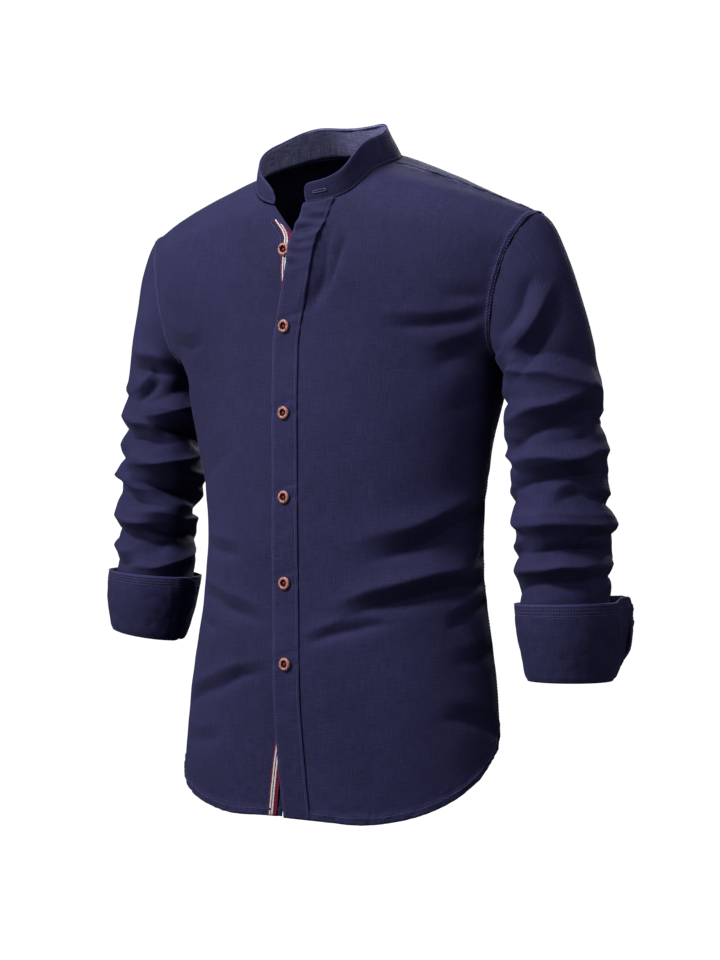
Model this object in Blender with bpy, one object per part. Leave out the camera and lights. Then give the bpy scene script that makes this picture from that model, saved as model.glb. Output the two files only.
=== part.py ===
"""A long-sleeved button-up shirt with a standing band collar and turned-back cuffs.

It keeps the hollow form of a garment that is worn: neck, hem and cuffs are open. Metres, Z up.
The wearer faces -Y and the wearer's left is +X. The origin lies in the neck hole, level with the
side of the neck seam, where the wearer's neck and shoulders hold the shirt up.
"""
import math
from collections import namedtuple

import bmesh
import bpy
from mathutils import Vector

# ---------------------------------------------------------------- driving dimensions, metres
WALL = 0.0015            # one layer of cloth
BAND_WALL = 0.0020       # collar band, two layers and what stiffens them
CUFF_WALL = 0.0026       # cuff turned back on itself
STRIP_WALL = 0.0010      # top strip of the front opening
TAPE_WALL = 0.0006       # woven tape on the button stand
SEAM_GAP = 0.0003        # between two pieces at a seam
PANEL_GAP = 0.0017       # between two panels that meet at an angle, whose walls lean together
STRIP_LIFT = 0.0009      # under the strip and the tape, which cross the folds more finely

HEM_LOW = -0.677         # lowest point of the front hem
HEM_BACK_LOW = -0.672    # lowest point of the back hem
HEM_SIDE = -0.582        # hem at the side seam
HEM_FLAT = 0.20          # share of the half-width over which the front hem is level
HEM_DIP = (0.003, 0.3)   # how far the hem rises again at the buttons, and over what share
HEM_CURVES = (1.75, 1.35)  # how late the front and the back hem turn up: 1 is straight
LAP = (0.10, 0.30)       # shares between which the two fronts close up beside the buttons
STRIP_WIDTH = 0.032      # top strip on the left front, centred on the buttons
STAND_EDGE = 0.012       # from the button line to the edge of the right front
TAPE_WIDTH = 0.0115
TAPE_TOP = 0.647         # level where the tape turns in under the edge of the right front
COLLAR_HEIGHT = 0.036
COLLAR_END_HEIGHT = 0.020
COLLAR_LENGTH = 0.43
COLLAR_CORNERS = (0.009, 0.026)  # radius of the left and of the right end's upper corner
COLLAR_LEANS = (0.05, 0.35)  # how far the left and the right end lean in
COLLAR_BACK_LEAN = 0.30
COLLAR_FORWARD = (-0.35, 0.94)  # the way the band stands at the back, forwards and up
COLLAR_CENTRE = -0.015   # depth of the point that the band leans towards
COLLAR_RISE = 0.16       # along the band, from an end to where it has its full height
COLLAR_SINK = 0.0002     # how far its foot lies under the outside of the cloth
COLLAR_START = 0.08      # near the share where the band's ends meet the edges of the fronts
CORNER_SHARE = 0.8       # of the band's height that a rounded corner may take
BUTTON_DIAMETER = 0.0135
BUTTON_THICKNESS = 0.0030
BUTTON_HEIGHTS = (-0.088, -0.167, -0.256, -0.3425, -0.431, -0.514)
UNFASTENED = 1           # the top buttons that lie on the tape, not on the strip

CLOTH_COLOUR = (0.035, 0.032, 0.078, 1.0)
TAPE_COLOUR = (0.72, 0.68, 0.66, 1.0)
BUTTON_COLOUR = (0.36, 0.13, 0.09, 1.0)

# ---------------------------------------------------------------- the form of the body
# A level runs along the cloth from the front hem, over the shoulder, to the back hem.
FRONT_ARMPIT = 0.488
FRONT_SEAM = 0.738       # seam between front and yoke
RIDGE = 0.745            # top of the shoulder
BACK_SEAM_MID = 0.868    # seam between yoke and back, at the middle
BACK_SEAM_SIDE = 0.828   # the same seam at the armhole
BACK_ARMPIT = 0.950
NECK_SIDES = (0.289, 0.266)  # left and right: share of the half-width where the neck seam crosses
NECK_FRONT_DROP = 0.075  # levels from the side of the neck down to its front
NECK_FULLNESS = (0.40, 0.90)  # left and right: below 1, squarer than an ellipse
NECK_BACK_DROP = 0.052   # and down to its back

# The line down the middle, through the open neck, and the turn of the cloth from there to its
# edge in degrees: 90 faces sideways.
Middle = namedtuple("Middle", "level height depth turn")
MIDDLE = (
    Middle(0.000, -0.700, -0.078, 105),   # below the front hem
    Middle(0.140, -0.560, -0.092, 105),   # hip
    Middle(0.300, -0.400, -0.0955, 105),  # waist
    Middle(0.400, -0.300, -0.0965, 102),  # ribs
    Middle(0.488, -0.212, -0.0960, 95),   # armpits
    Middle(0.545, -0.155, -0.0965, 70),
    Middle(0.600, -0.101, -0.1000, 60),   # chest, at the top button
    Middle(0.640, -0.062, -0.0970, 53),
    Middle(0.675, -0.032, -0.0880, 47),   # throat
    Middle(0.712, -0.001, -0.0580, 41),
    Middle(0.745, 0.020, -0.0050, 36),    # between the shoulders
    Middle(0.775, 0.028, 0.0320, 40),
    Middle(0.790, 0.021, 0.0520, 44),     # back of the neck
    Middle(0.817, -0.012, 0.0760, 52),
    Middle(0.863, -0.075, 0.1010, 62),    # shoulder blades
    Middle(0.905, -0.140, 0.1120, 74),
    Middle(0.950, -0.212, 0.1130, 85),
    Middle(1.038, -0.300, 0.1050, 78),
    Middle(1.138, -0.400, 0.0980, 75),    # small of the back
    Middle(1.298, -0.560, 0.0980, 75),    # seat
    Middle(1.438, -0.700, 0.0800, 75),    # below the back hem
)

# The side seam, shared by front and back. The swing is what the right side stands out further.
Side = namedtuple("Side", "height half_width depth swing")
SIDE = (
    Side(-0.700, 0.180, 0.022, 0.024),
    Side(-0.560, 0.178, 0.030, 0.010),
    Side(-0.400, 0.159, 0.030, 0.002),
    Side(-0.300, 0.172, 0.022, 0.000),
    Side(-0.212, 0.197, 0.012, 0.000),
)

# The armhole, from the armpit up the front, over the shoulder and down the back.
Armhole = namedtuple("Armhole", "level half_width depth height")
ARMHOLE = (
    Armhole(0.488, 0.1970, 0.012, -0.212),
    Armhole(0.545, 0.2055, -0.030, -0.187),
    Armhole(0.601, 0.2157, -0.041, -0.141),
    Armhole(0.661, 0.2300, -0.034, -0.0915),
    Armhole(0.697, 0.2415, -0.020, -0.066),
    Armhole(0.712, 0.2455, -0.010, -0.0595),
    Armhole(0.745, 0.2468, 0.002, -0.058),
    Armhole(0.758, 0.2455, 0.014, -0.0615),
    Armhole(0.781, 0.2400, 0.030, -0.075),
    Armhole(0.817, 0.2300, 0.046, -0.105),
    Armhole(0.863, 0.2190, 0.054, -0.148),
    Armhole(0.905, 0.2090, 0.044, -0.186),
    Armhole(0.950, 0.1970, 0.012, -0.212),
)

# How far the edges of the front stand from the middle where the shirt is not buttoned.
Parting = namedtuple("Parting", "height left right")
PARTING = (
    Parting(-0.700, 0.006, -0.034),
    Parting(-0.620, 0.002, -0.019),
    Parting(-0.560, 0.000, -0.007),
    Parting(-0.510, 0.000, 0.000),
    Parting(-0.190, 0.000, 0.000),
    Parting(-0.160, 0.005, 0.000),
    Parting(-0.120, 0.016, 0.000),
    Parting(-0.087, 0.023, -0.001),
    Parting(-0.073, 0.027, -0.003),
    Parting(-0.056, 0.034, -0.018),
    Parting(-0.036, 0.039, -0.036),
)

# Folds of the body: across is the share of the half-width, above 0 on the wearer's left. The
# depth is how far a trough sinks in, below 0 for a ridge.
Fold = namedtuple("Fold", "across_a height_a across_b height_b width depth")
HALF_GIRTH = 0.25        # cloth from the middle to the side, which turns a share into metres
FRONT_FOLDS = (
    Fold(0.34, -0.420, 1.00, -0.350, 0.017, 0.009),
    Fold(0.45, -0.445, 1.02, -0.388, 0.014, -0.005),
    Fold(0.22, -0.466, 1.00, -0.412, 0.017, 0.012),
    Fold(0.10, -0.494, 0.45, -0.478, 0.014, 0.004),
    Fold(0.60, -0.478, 1.00, -0.446, 0.014, 0.006),
    Fold(0.45, -0.572, 0.98, -0.592, 0.016, 0.005),
    Fold(-0.92, -0.395, -0.40, -0.408, 0.014, 0.005),
    Fold(-0.98, -0.440, -0.25, -0.480, 0.015, 0.005),
    Fold(-0.98, -0.578, -0.14, -0.522, 0.016, 0.007),
    Fold(0.45, -0.166, 0.97, -0.160, 0.015, 0.004),
    Fold(0.55, -0.200, 0.98, -0.188, 0.013, 0.003),
    Fold(-0.97, -0.172, -0.50, -0.178, 0.015, 0.004),
    Fold(0.20, -0.080, 0.12, -0.150, 0.015, 0.004),
)
BACK_FOLDS = (
    Fold(-0.95, -0.350, -0.20, -0.410, 0.018, 0.007),
    Fold(0.95, -0.345, 0.15, -0.400, 0.018, 0.008),
    Fold(-0.95, -0.425, 0.05, -0.455, 0.018, 0.008),
    Fold(0.97, -0.428, 0.10, -0.480, 0.017, 0.007),
    Fold(-0.98, -0.520, -0.35, -0.550, 0.017, 0.005),
    Fold(0.95, -0.560, 0.40, -0.545, 0.017, 0.005),
    Fold(0.95, -0.185, 0.45, -0.240, 0.016, 0.005),
    Fold(-0.95, -0.185, -0.45, -0.235, 0.016, 0.005),
)

# ---------------------------------------------------------------- the form of a sleeve
CAP_END = -0.250         # height where the head of the sleeve has become a plain tube
CAP_UNDER = (0.66, -0.75)  # the way the cloth leaves the armhole underneath, outwards and up
CAP_SHORT = 0.6          # how much shorter the curve of the head is at the top of the shoulder
CAP_SPLAY = 0.13         # how far out the sleeve leans where its head ends
CREASE_START = 0.35      # share of the head over which its creases grow to their full depth
SLEEVE_TILT = math.radians(-54)  # towards which the tube is widest: 0 outwards, 90 forwards
Arm = namedtuple("Arm", "height out depth wide narrow")
ARM = (
    Arm(-0.530, 0.2765, 0.0055, 0.0350, 0.0350),  # inside the cuff
    Arm(-0.450, 0.2680, 0.0115, 0.0455, 0.0432),
    Arm(-0.400, 0.2665, 0.0125, 0.0485, 0.0440),
    Arm(-0.350, 0.2630, 0.0132, 0.0495, 0.0445),  # forearm
    Arm(-0.300, 0.2587, 0.0132, 0.0505, 0.0450),
    Arm(-0.250, 0.2525, 0.0137, 0.0510, 0.0455),  # upper arm
)
SLEEVE_END = {1: -0.496, -1: -0.474}  # height of the left and of the right sleeve's lower end

# Folds round a sleeve: heights, and angles in degrees from outwards through forwards.
Crease = namedtuple("Crease", "angle_a height_a angle_b height_b width depth")
LEFT_CREASES = (
    Crease(40, -0.124, 108, -0.195, 0.008, -0.004),
    Crease(34, -0.135, 95, -0.200, 0.010, 0.003),
    Crease(100, -0.207, 175, -0.222, 0.010, 0.005),
    Crease(122, -0.218, -12, -0.238, 0.010, -0.004),
    Crease(112, -0.242, 190, -0.250, 0.010, 0.004),
    Crease(120, -0.302, -20, -0.256, 0.013, 0.007),
    Crease(75, -0.309, 0, -0.303, 0.012, -0.003),
    Crease(122, -0.336, -25, -0.322, 0.011, 0.006),
    Crease(115, -0.364, -35, -0.366, 0.010, -0.004),
    Crease(118, -0.398, -25, -0.402, 0.013, 0.007),
    Crease(98, -0.418, 5, -0.412, 0.008, -0.003),
    Crease(138, -0.436, 0, -0.429, 0.009, 0.005),
    Crease(205, -0.275, 320, -0.262, 0.012, 0.006),
    Crease(150, -0.318, 250, -0.306, 0.012, 0.005),
    Crease(190, -0.352, 325, -0.343, 0.012, 0.006),
    Crease(155, -0.392, 260, -0.386, 0.012, 0.005),
    Crease(200, -0.425, 330, -0.418, 0.010, 0.004),
    Crease(230, -0.150, 300, -0.215, 0.014, 0.004),
)
RIGHT_CREASES = (
    Crease(58, -0.194, 145, -0.207, 0.009, 0.005),
    Crease(88, -0.234, 122, -0.217, 0.009, 0.004),
    Crease(105, -0.256, 175, -0.237, 0.009, -0.003),
    Crease(104, -0.259, 195, -0.273, 0.011, 0.006),
    Crease(30, -0.261, 146, -0.284, 0.009, 0.005),
    Crease(78, -0.309, 205, -0.287, 0.010, -0.004),
    Crease(78, -0.314, 215, -0.345, 0.014, 0.007),
    Crease(40, -0.325, 142, -0.354, 0.009, 0.005),
    Crease(100, -0.372, 205, -0.386, 0.010, 0.006),
    Crease(22, -0.370, 165, -0.396, 0.011, 0.006),
    Crease(95, -0.424, 200, -0.398, 0.010, -0.004),
    Crease(-60, -0.268, 30, -0.262, 0.011, 0.004),
    Crease(-110, -0.312, 10, -0.322, 0.012, 0.006),
    Crease(-140, -0.355, -20, -0.366, 0.012, 0.006),
    Crease(-120, -0.398, 20, -0.404, 0.011, 0.005),
    Crease(-70, -0.160, -130, -0.220, 0.014, 0.004),
)

# ---------------------------------------------------------------- the cuffs
# Heights at the outer and the inner side, the ring's radius there, and the angles where the band
# starts and leaves the ring, from where it runs on straight as a free end.
Cuff = namedtuple("Cuff", "top_out top_in low_out low_in start leave free low_corner")
CUFFS = {
    1: Cuff(-0.447, -0.449, -0.525, -0.525, -52, 262, 0.052, 0.046),
    -1: Cuff(-0.424, -0.433, -0.489, -0.503, 176, 530, 0.012, 0.012),
}
CUFF_TOP_RADIUS = 0.0520
CUFF_LOW_RADIUS = 0.0420
CUFF_TOP_CORNER = 0.012  # radius of the rounded upper corners of the ends
CUFF_SPREAD = (0.004, 0.75)  # how far the right cuff's lapped end stands off, and from what share

# ---------------------------------------------------------------- how finely each piece is cut
NECK_COLUMNS = 4         # on each side, inside the neck
OUTER_COLUMNS = 7        # on each side, from the neck to the armhole
LOW_ROWS = 22            # from the hem to the armpits
HIGH_ROWS = 9            # from the armpits to the shoulder seam
YOKE_ROWS = 6
CAP_ROWS = 8
TUBE_ROWS = 23
COLLAR_ROWS = 2
CUFF_COLUMNS = 30
CUFF_ROWS = 3
BUTTON_SIDES = 14
STRIP_ROWS = 39
COLLAR_COLUMNS = 36
SETTLE_ROUNDS = 4        # rounds in which a point and the edges that depend on it settle
FIRST_LEVEL = 0.3        # where those rounds start
CAP_FALL = 0.25          # how rounded the fall of the cloth is beside the middle: 0 is straight


def smooth(rows, at):
    """The values of the rows at a place between them. The first column is the place, and a
    smooth curve runs through each of the others."""
    last = len(rows) - 1
    at = min(max(at, rows[0][0]), rows[last][0])
    i = 0
    while i < last - 1 and rows[i + 1][0] < at:
        i += 1
    before, a, b, after = rows[max(i - 1, 0)], rows[i], rows[i + 1], rows[min(i + 2, last)]
    span = b[0] - a[0]
    s = (at - a[0]) / span
    found = []
    for k in range(1, len(a)):
        slope_a = (b[k] - before[k]) / (b[0] - before[0]) * span
        slope_b = (after[k] - a[k]) / (after[0] - a[0]) * span
        found.append(
            a[k] * (2 * s**3 - 3 * s**2 + 1)
            + slope_a * (s**3 - 2 * s**2 + s)
            + b[k] * (3 * s**2 - 2 * s**3)
            + slope_b * (s**3 - s**2)
        )
    return found


def ease(x, low, high):
    """0 at low, 1 at high, level at both ends."""
    s = min(max((x - low) / (high - low), 0), 1)
    return s * s * (3 - 2 * s)


def middle(level):
    return Middle(level, *smooth(MIDDLE, level))


def edge(level, side):
    """A point of the body's edge: the side seam below the armpits, the armhole above them."""
    if FRONT_ARMPIT <= level <= BACK_ARMPIT:
        out, depth, height = smooth(ARMHOLE, level)
        return Vector((side * out, depth, height))
    height = middle(level).height
    out, depth, swing = smooth(SIDE, height)
    return Vector((side * (out + (swing if side < 0 else 0)), depth, height))


def bare_point(across, level):
    """The body with no folds. Across is -1 at the wearer's right edge and 1 at the left edge."""
    side = 1 if across >= 0 else -1
    share = abs(across)
    mid = middle(level)
    end = edge(level, side)
    turn = math.radians(mid.turn)
    fall = (math.hypot(share, CAP_FALL) - CAP_FALL) / (math.hypot(1, CAP_FALL) - CAP_FALL)
    return Vector(
        (
            end.x * math.sin(turn * share) / math.sin(turn),
            mid.depth + (end.y - mid.depth) * (1 - math.cos(turn * share)) / (1 - math.cos(turn)),
            mid.height + (end.z - mid.height) * fall,
        )
    )


def bare_normal(across, level):
    step = 0.004
    along = bare_point(across, level + step) - bare_point(across, level - step)
    sideways = bare_point(across + step, level) - bare_point(across - step, level)
    return sideways.cross(along).normalized()


def trough(x, y, ax, ay, bx, by, width, depth):
    """How far a fold from a to b sinks in at (x, y): a soft trough that dies out at its ends."""
    length = math.hypot(bx - ax, by - ay)
    along = ((x - ax) * (bx - ax) + (y - ay) * (by - ay)) / length
    off = ((x - ax) * (by - ay) - (y - ay) * (bx - ax)) / length
    inner = width * 1.5
    ends = ease(along, -width, inner) * (1 - ease(along, length - inner, length + width))
    return depth * ends * math.exp(-((off / width) ** 2))


def body_point(across, level, out=0.0):
    """The body with its folds, moved out along its normal."""
    point = bare_point(across, level)
    normal = bare_normal(across, level)
    folds = FRONT_FOLDS if level < RIDGE else BACK_FOLDS
    sink = sum(
        trough(
            across * HALF_GIRTH,
            point.z,
            fold.across_a * HALF_GIRTH,
            fold.height_a,
            fold.across_b * HALF_GIRTH,
            fold.height_b,
            fold.width,
            fold.depth,
        )
        for fold in folds
    )
    return point + normal * (out - sink)


def share_of(distance, level):
    """The share of the half-width that a distance from the middle makes at a level."""
    mid = middle(level)
    turn = math.radians(mid.turn)
    return distance / (edge(level, 1).x * turn / math.sin(turn))


def front_edge(level, side):
    """Across, at the edge of a front."""
    left, right = smooth(PARTING, middle(level).height)
    if side > 0:
        return share_of(left - STRIP_WIDTH / 2, level)
    return share_of(right + STAND_EDGE, level)


def hem_height(share):
    """The front hem: nearly level in the middle, curving up to the side seam."""
    rise = max(share - HEM_FLAT, 0) / (1 - HEM_FLAT)
    dip, reach = HEM_DIP
    return HEM_LOW + dip * (1 - ease(share, 0, reach)) + (HEM_SIDE - HEM_LOW) * rise**HEM_CURVES[0]


def back_hem_height(share):
    return HEM_BACK_LOW + (HEM_SIDE - HEM_BACK_LOW) * share**HEM_CURVES[1]


def neck_side(across):
    return NECK_SIDES[0] if across > 0 else NECK_SIDES[1]


def neck_level(across, back=False):
    """The neck seam: a hollow in the front, and a shallower one in the yoke."""
    inside = math.sqrt(max(1 - (across / neck_side(across)) ** 2, 0))
    if back:
        return FRONT_SEAM + NECK_BACK_DROP * inside
    fullness = NECK_FULLNESS[0] if across > 0 else NECK_FULLNESS[1]
    return FRONT_SEAM - NECK_FRONT_DROP * inside**fullness


def neck_point(turn, out=0.0):
    """The neck seam, turn in radians from the front through the wearer's left."""
    across = neck_side(math.sin(turn)) * math.sin(turn)
    return body_point(across, neck_level(across, math.cos(turn) < 0), out)


# ---------------------------------------------------------------- making solids
def material(name, colour, roughness):
    made = bpy.data.materials.new(name)
    made.use_nodes = True
    shader = made.node_tree.nodes["Principled BSDF"]
    shader.inputs["Base Color"].default_value = colour
    shader.inputs["Roughness"].default_value = roughness
    shader.inputs["Metallic"].default_value = 0.0
    return made


def finish(name, mesh_data, colour, roughness=0.85):
    mesh = bpy.data.meshes.new(name)
    mesh_data.to_mesh(mesh)
    mesh_data.free()
    mesh.shade_smooth()
    made = bpy.data.objects.new(name, mesh)
    bpy.context.scene.collection.objects.link(made)
    made.data.materials.append(material(name, colour, roughness))
    return made


def cloth(name, columns, rows, place, wall, flip=False, tube=False, colour=CLOTH_COLOUR):
    """A grid whose points are placed by place(u, v), both from 0 to 1, given a wall inwards."""
    grid = bmesh.new()
    bmesh.ops.create_grid(grid, x_segments=columns, y_segments=rows, size=0.5)
    for vert in grid.verts:
        vert.co = place(vert.co.x + 0.5, vert.co.y + 0.5)
    if tube:
        bmesh.ops.remove_doubles(grid, verts=grid.verts, dist=1e-6)
    if flip:
        bmesh.ops.reverse_faces(grid, faces=grid.faces)
    bmesh.ops.triangulate(grid, faces=grid.faces, quad_method="SHORT_EDGE")
    made = finish(name, grid, colour)
    solid = made.modifiers.new("wall", "SOLIDIFY")
    solid.thickness = wall
    solid.offset = -1
    solid.use_rim = True
    return made


def column_share(u, start, side):
    """The share of a column of a panel: first inside the neck, then on to the side."""
    k = u * (NECK_COLUMNS + OUTER_COLUMNS)
    neck = neck_side(side)
    if k <= NECK_COLUMNS:
        first = math.asin(min(max(start / neck, -1), 1))
        return neck * math.sin(first + (math.pi / 2 - first) * k / NECK_COLUMNS)
    return neck + (1 - neck) * (k - NECK_COLUMNS) / OUTER_COLUMNS


def side_gap(share):
    """Stops a panel short of its side seam by half a seam gap."""
    return min(share, 1 - PANEL_GAP / 2 / HALF_GIRTH)


def row_level(v, low, split, high):
    """Rows from the hem to the armpits, then from there to the top."""
    k = v * (LOW_ROWS + HIGH_ROWS)
    if k <= LOW_ROWS:
        return low + (split - low) * k / LOW_ROWS
    return split + (high - split) * (k - LOW_ROWS) / HIGH_ROWS


def stack(share, side):
    """The left front laps over the right: each gives way by half of what lies between them."""
    lap = WALL + TAPE_WALL + SEAM_GAP + 2 * STRIP_LIFT
    return side * lap / 2 * (1 - ease(abs(share), *LAP))


def front_place(side):
    def place(u, v):
        share = u
        level = FIRST_LEVEL
        for _ in range(SETTLE_ROUNDS):
            start = front_edge(level, side) * side
            share = column_share(u, start, side)
            low = hem_height(abs(share)) - MIDDLE[0].height
            high = FRONT_SEAM - PANEL_GAP / 2
            if share < neck_side(side):
                high = neck_level(side * share) - SEAM_GAP / 2
            level = row_level(v, low, FRONT_ARMPIT, high)
        across = side * side_gap(share)
        return body_point(across, level, stack(share, side))

    return place


def strip_place(half_width, side, out, top):
    """A strip that lies on a front, u across it, v from the hem to the neck seam or to the top."""

    def place(u, v):
        level = FIRST_LEVEL
        for _ in range(SETTLE_ROUNDS):
            left, right = smooth(PARTING, middle(level).height)
            shift = left if side > 0 else right
            across = share_of(shift + half_width * (2 * u - 1), level)
            low = hem_height(abs(across)) - MIDDLE[0].height
            high = min(neck_level(across) - SEAM_GAP, top)
            level = low + (high - low) * v
        return body_point(across, level, stack(across * side, side) + out)

    return place


def back_place(u, v):
    """The back: u from the wearer's left to right, v from the hem up."""
    k = (0.5 - u) * 2
    share = column_share(abs(k), 0.0, k)
    across = math.copysign(side_gap(share), k)
    hem = back_hem_height(share)
    low = BACK_ARMPIT + middle(BACK_ARMPIT).height - hem
    seam = BACK_SEAM_MID + (BACK_SEAM_SIDE - BACK_SEAM_MID) * share**2
    level = row_level(v, low, BACK_ARMPIT, seam + PANEL_GAP / 2)
    return body_point(across, level)


def yoke_place(u, v):
    """The yoke: u from the wearer's left to right, v from the back seam over the shoulder."""
    k = (0.5 - u) * 2
    share = column_share(abs(k), 0.0, k)
    seam = BACK_SEAM_MID + (BACK_SEAM_SIDE - BACK_SEAM_MID) * share**2 - PANEL_GAP / 2
    top = FRONT_SEAM + PANEL_GAP / 2
    if share < neck_side(k):
        top = neck_level(math.copysign(share, k), True) + PANEL_GAP / 2
    return body_point(math.copysign(share, k), seam + (top - seam) * v)


def armhole_level(step):
    """The level of a point of the armhole, counted in rows of the panels from the armpit."""
    if step <= HIGH_ROWS:
        return FRONT_ARMPIT + (FRONT_SEAM - FRONT_ARMPIT) * step / HIGH_ROWS
    step -= HIGH_ROWS
    if step <= YOKE_ROWS:
        return FRONT_SEAM + (BACK_SEAM_SIDE - FRONT_SEAM) * step / YOKE_ROWS
    return BACK_SEAM_SIDE + (BACK_ARMPIT - BACK_SEAM_SIDE) * (step - YOKE_ROWS) / HIGH_ROWS


def arm_ring(angle, height, side):
    """A point of the plain tube of a sleeve."""
    out, depth, wide, narrow = smooth(ARM, height)
    a = angle - SLEEVE_TILT
    radius = wide * narrow / math.hypot(narrow * math.cos(a), wide * math.sin(a))
    return Vector(
        (side * (out + radius * math.cos(angle)), depth - radius * math.sin(angle), height)
    )


def creased(point, angle, side, room=1.0):
    """A point of a sleeve moved in towards its axis by the sleeve's folds."""
    wide, narrow = smooth(ARM, point.z)[2:]
    girth = (wide + narrow) / 2
    turns = math.degrees(angle)
    sink = 0.0
    for crease in LEFT_CREASES if side > 0 else RIGHT_CREASES:
        half = (crease.angle_a + crease.angle_b) / 2
        near = half + (turns - half + 180) % 360 - 180
        sink += trough(
            math.radians(near) * girth,
            point.z,
            math.radians(crease.angle_a) * girth,
            crease.height_a,
            math.radians(crease.angle_b) * girth,
            crease.height_b,
            crease.width,
            crease.depth,
        )
    inwards = Vector((-side * math.cos(angle), math.sin(angle), 0))
    return point + inwards * sink * room


def sleeve_place(side):
    steps = 2 * HIGH_ROWS + YOKE_ROWS
    end = SLEEVE_END[side]

    def place(u, v):
        level = armhole_level(u * steps)
        if level <= RIDGE:
            angle = math.pi * (1 - (level - FRONT_ARMPIT) / (RIDGE - FRONT_ARMPIT))
        else:
            angle = -math.pi * (level - RIDGE) / (BACK_ARMPIT - RIDGE)
        k = v * (CAP_ROWS + TUBE_ROWS)
        if k > CAP_ROWS:
            height = CAP_END + (end - CAP_END) * (k - CAP_ROWS) / TUBE_ROWS
            return creased(arm_ring(angle, height, side), angle, side)
        seam = body_point(side, level)
        normal = bare_normal(side, level)
        normal.x = side * abs(normal.x)
        beyond = (seam - body_point(side * 0.985, level)).normalized()
        ring = arm_ring(angle, CAP_END, side)
        start = seam + (beyond + normal) * PANEL_GAP / 2
        reach = (ring - start).length
        top = max(math.cos(angle), 0) ** 2
        away = Vector((side * CAP_UNDER[0], 0, CAP_UNDER[1])) * (1 - top)
        leave = (beyond * top + away).normalized() * reach * (1 - CAP_SHORT * top)
        arrive = Vector((side * CAP_SPLAY, 0, -1)) * reach
        s = k / CAP_ROWS
        point = (
            start * (2 * s**3 - 3 * s**2 + 1)
            + leave * (s**3 - 2 * s**2 + s)
            + ring * (3 * s**2 - 2 * s**3)
            + arrive * (s**3 - s**2)
        )
        return creased(point, angle, side, ease(s, 0, CREASE_START))

    return place


def collar_place(u, v):
    """The band: u from its left end round the back to its right end, v from the seam up."""
    ends = {}
    for side in (1, -1):
        start = front_edge(neck_level(COLLAR_START * side), side)
        ends[side] = math.asin(start / neck_side(start))
    turn = ends[1] + (2 * math.pi + ends[-1] - ends[1]) * u
    foot = neck_point(turn, -COLLAR_SINK)
    from_end = min(u, 1 - u) * COLLAR_LENGTH
    corner = COLLAR_CORNERS[0] if u < 0.5 else COLLAR_CORNERS[1]
    rounded = 1 - math.sqrt(max(1 - max(1 - from_end / corner, 0) ** 2, 0))
    back = ease(from_end, 0, COLLAR_RISE)
    tall = COLLAR_END_HEIGHT + (COLLAR_HEIGHT - COLLAR_END_HEIGHT) * back
    tall *= 1 - rounded * min(corner / tall, CORNER_SHARE)
    inwards = Vector((-foot.x, COLLAR_CENTRE - foot.y, 0)).normalized()
    lean = COLLAR_LEANS[u > 0.5]
    up = Vector((0, *COLLAR_FORWARD)) + inwards * (lean + (COLLAR_BACK_LEAN - lean) * back)
    up.normalize()
    return foot + up * (PANEL_GAP + tall * v)


def cuff_place(side):
    cuff = CUFFS[side]
    out_low, depth_low = smooth(ARM, cuff.low_in)[:2]
    out_top, depth_top = smooth(ARM, cuff.top_in)[:2]
    stand_off, from_share = CUFF_SPREAD

    def place(u, v):
        radius = CUFF_LOW_RADIUS + (CUFF_TOP_RADIUS - CUFF_LOW_RADIUS) * math.sin(v * math.pi / 2)
        round_length = math.radians(cuff.leave - cuff.start) * radius
        length = round_length + cuff.free
        gone = u * length
        angle = math.radians(cuff.start) + min(gone, round_length) / radius
        spread = stand_off * ease(gone / length, from_share, 1) * (side < 0) + radius
        x = spread * math.cos(angle)
        y = spread * math.sin(angle)
        straight = max(gone - round_length, 0)
        x -= straight * math.sin(angle)
        y += straight * math.cos(angle)
        from_end = min(gone, length - gone)
        trims = [
            corner - math.sqrt(max(corner**2 - max(corner - from_end, 0) ** 2, 0))
            for corner in (CUFF_TOP_CORNER, cuff.low_corner)
        ]
        share = (1 - x / radius) / 2
        top = cuff.top_out + (cuff.top_in - cuff.top_out) * share - trims[0]
        low = cuff.low_out + (cuff.low_in - cuff.low_out) * share + trims[1]
        out = out_low + (out_top - out_low) * v
        depth = depth_low + (depth_top - depth_low) * v
        return Vector((side * (out + x), depth - y, low + (top - low) * v))

    return place


def button(name, point, normal):
    """A turned button: a raised rim round a dished middle, its back on the cloth."""
    radius = BUTTON_DIAMETER / 2
    deep = BUTTON_THICKNESS
    profile = (
        (0.0, 0.0),
        (radius * 0.80, 0.0),
        (radius * 0.98, deep * 0.35),
        (radius, deep * 0.65),
        (radius * 0.86, deep),
        (radius * 0.66, deep * 0.95),
        (radius * 0.52, deep * 0.60),
        (0.0, deep * 0.55),
    )
    turned = bmesh.new()
    points = [turned.verts.new((across, 0, up)) for across, up in profile]
    edges = [turned.edges.new(pair) for pair in zip(points, points[1:])]
    bmesh.ops.spin(
        turned,
        geom=points + edges,
        cent=(0, 0, 0),
        axis=(0, 0, 1),
        angle=math.tau,
        steps=BUTTON_SIDES,
        use_merge=True,
    )
    bmesh.ops.remove_doubles(turned, verts=turned.verts, dist=1e-5)
    bmesh.ops.recalc_face_normals(turned, faces=turned.faces)
    made = finish(name, turned, BUTTON_COLOUR, 0.45)
    made.location = point + normal * SEAM_GAP
    made.rotation_mode = "QUATERNION"
    made.rotation_quaternion = normal.to_track_quat("Z", "Y")
    return made


def buttons():
    for number, height in enumerate(BUTTON_HEIGHTS, 1):
        loose = number <= UNFASTENED
        side = -1 if loose else 1
        level = next(k / 1000 for k in range(1000) if middle(k / 1000).height >= height)
        out = TAPE_WALL if loose else STRIP_WALL
        out += STRIP_LIFT
        point = body_point(0, level, stack(0, side) + out)
        if loose:
            point.x += smooth(PARTING, height)[1]
        button(f"button_{number}", point, bare_normal(0.0, level))


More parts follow.
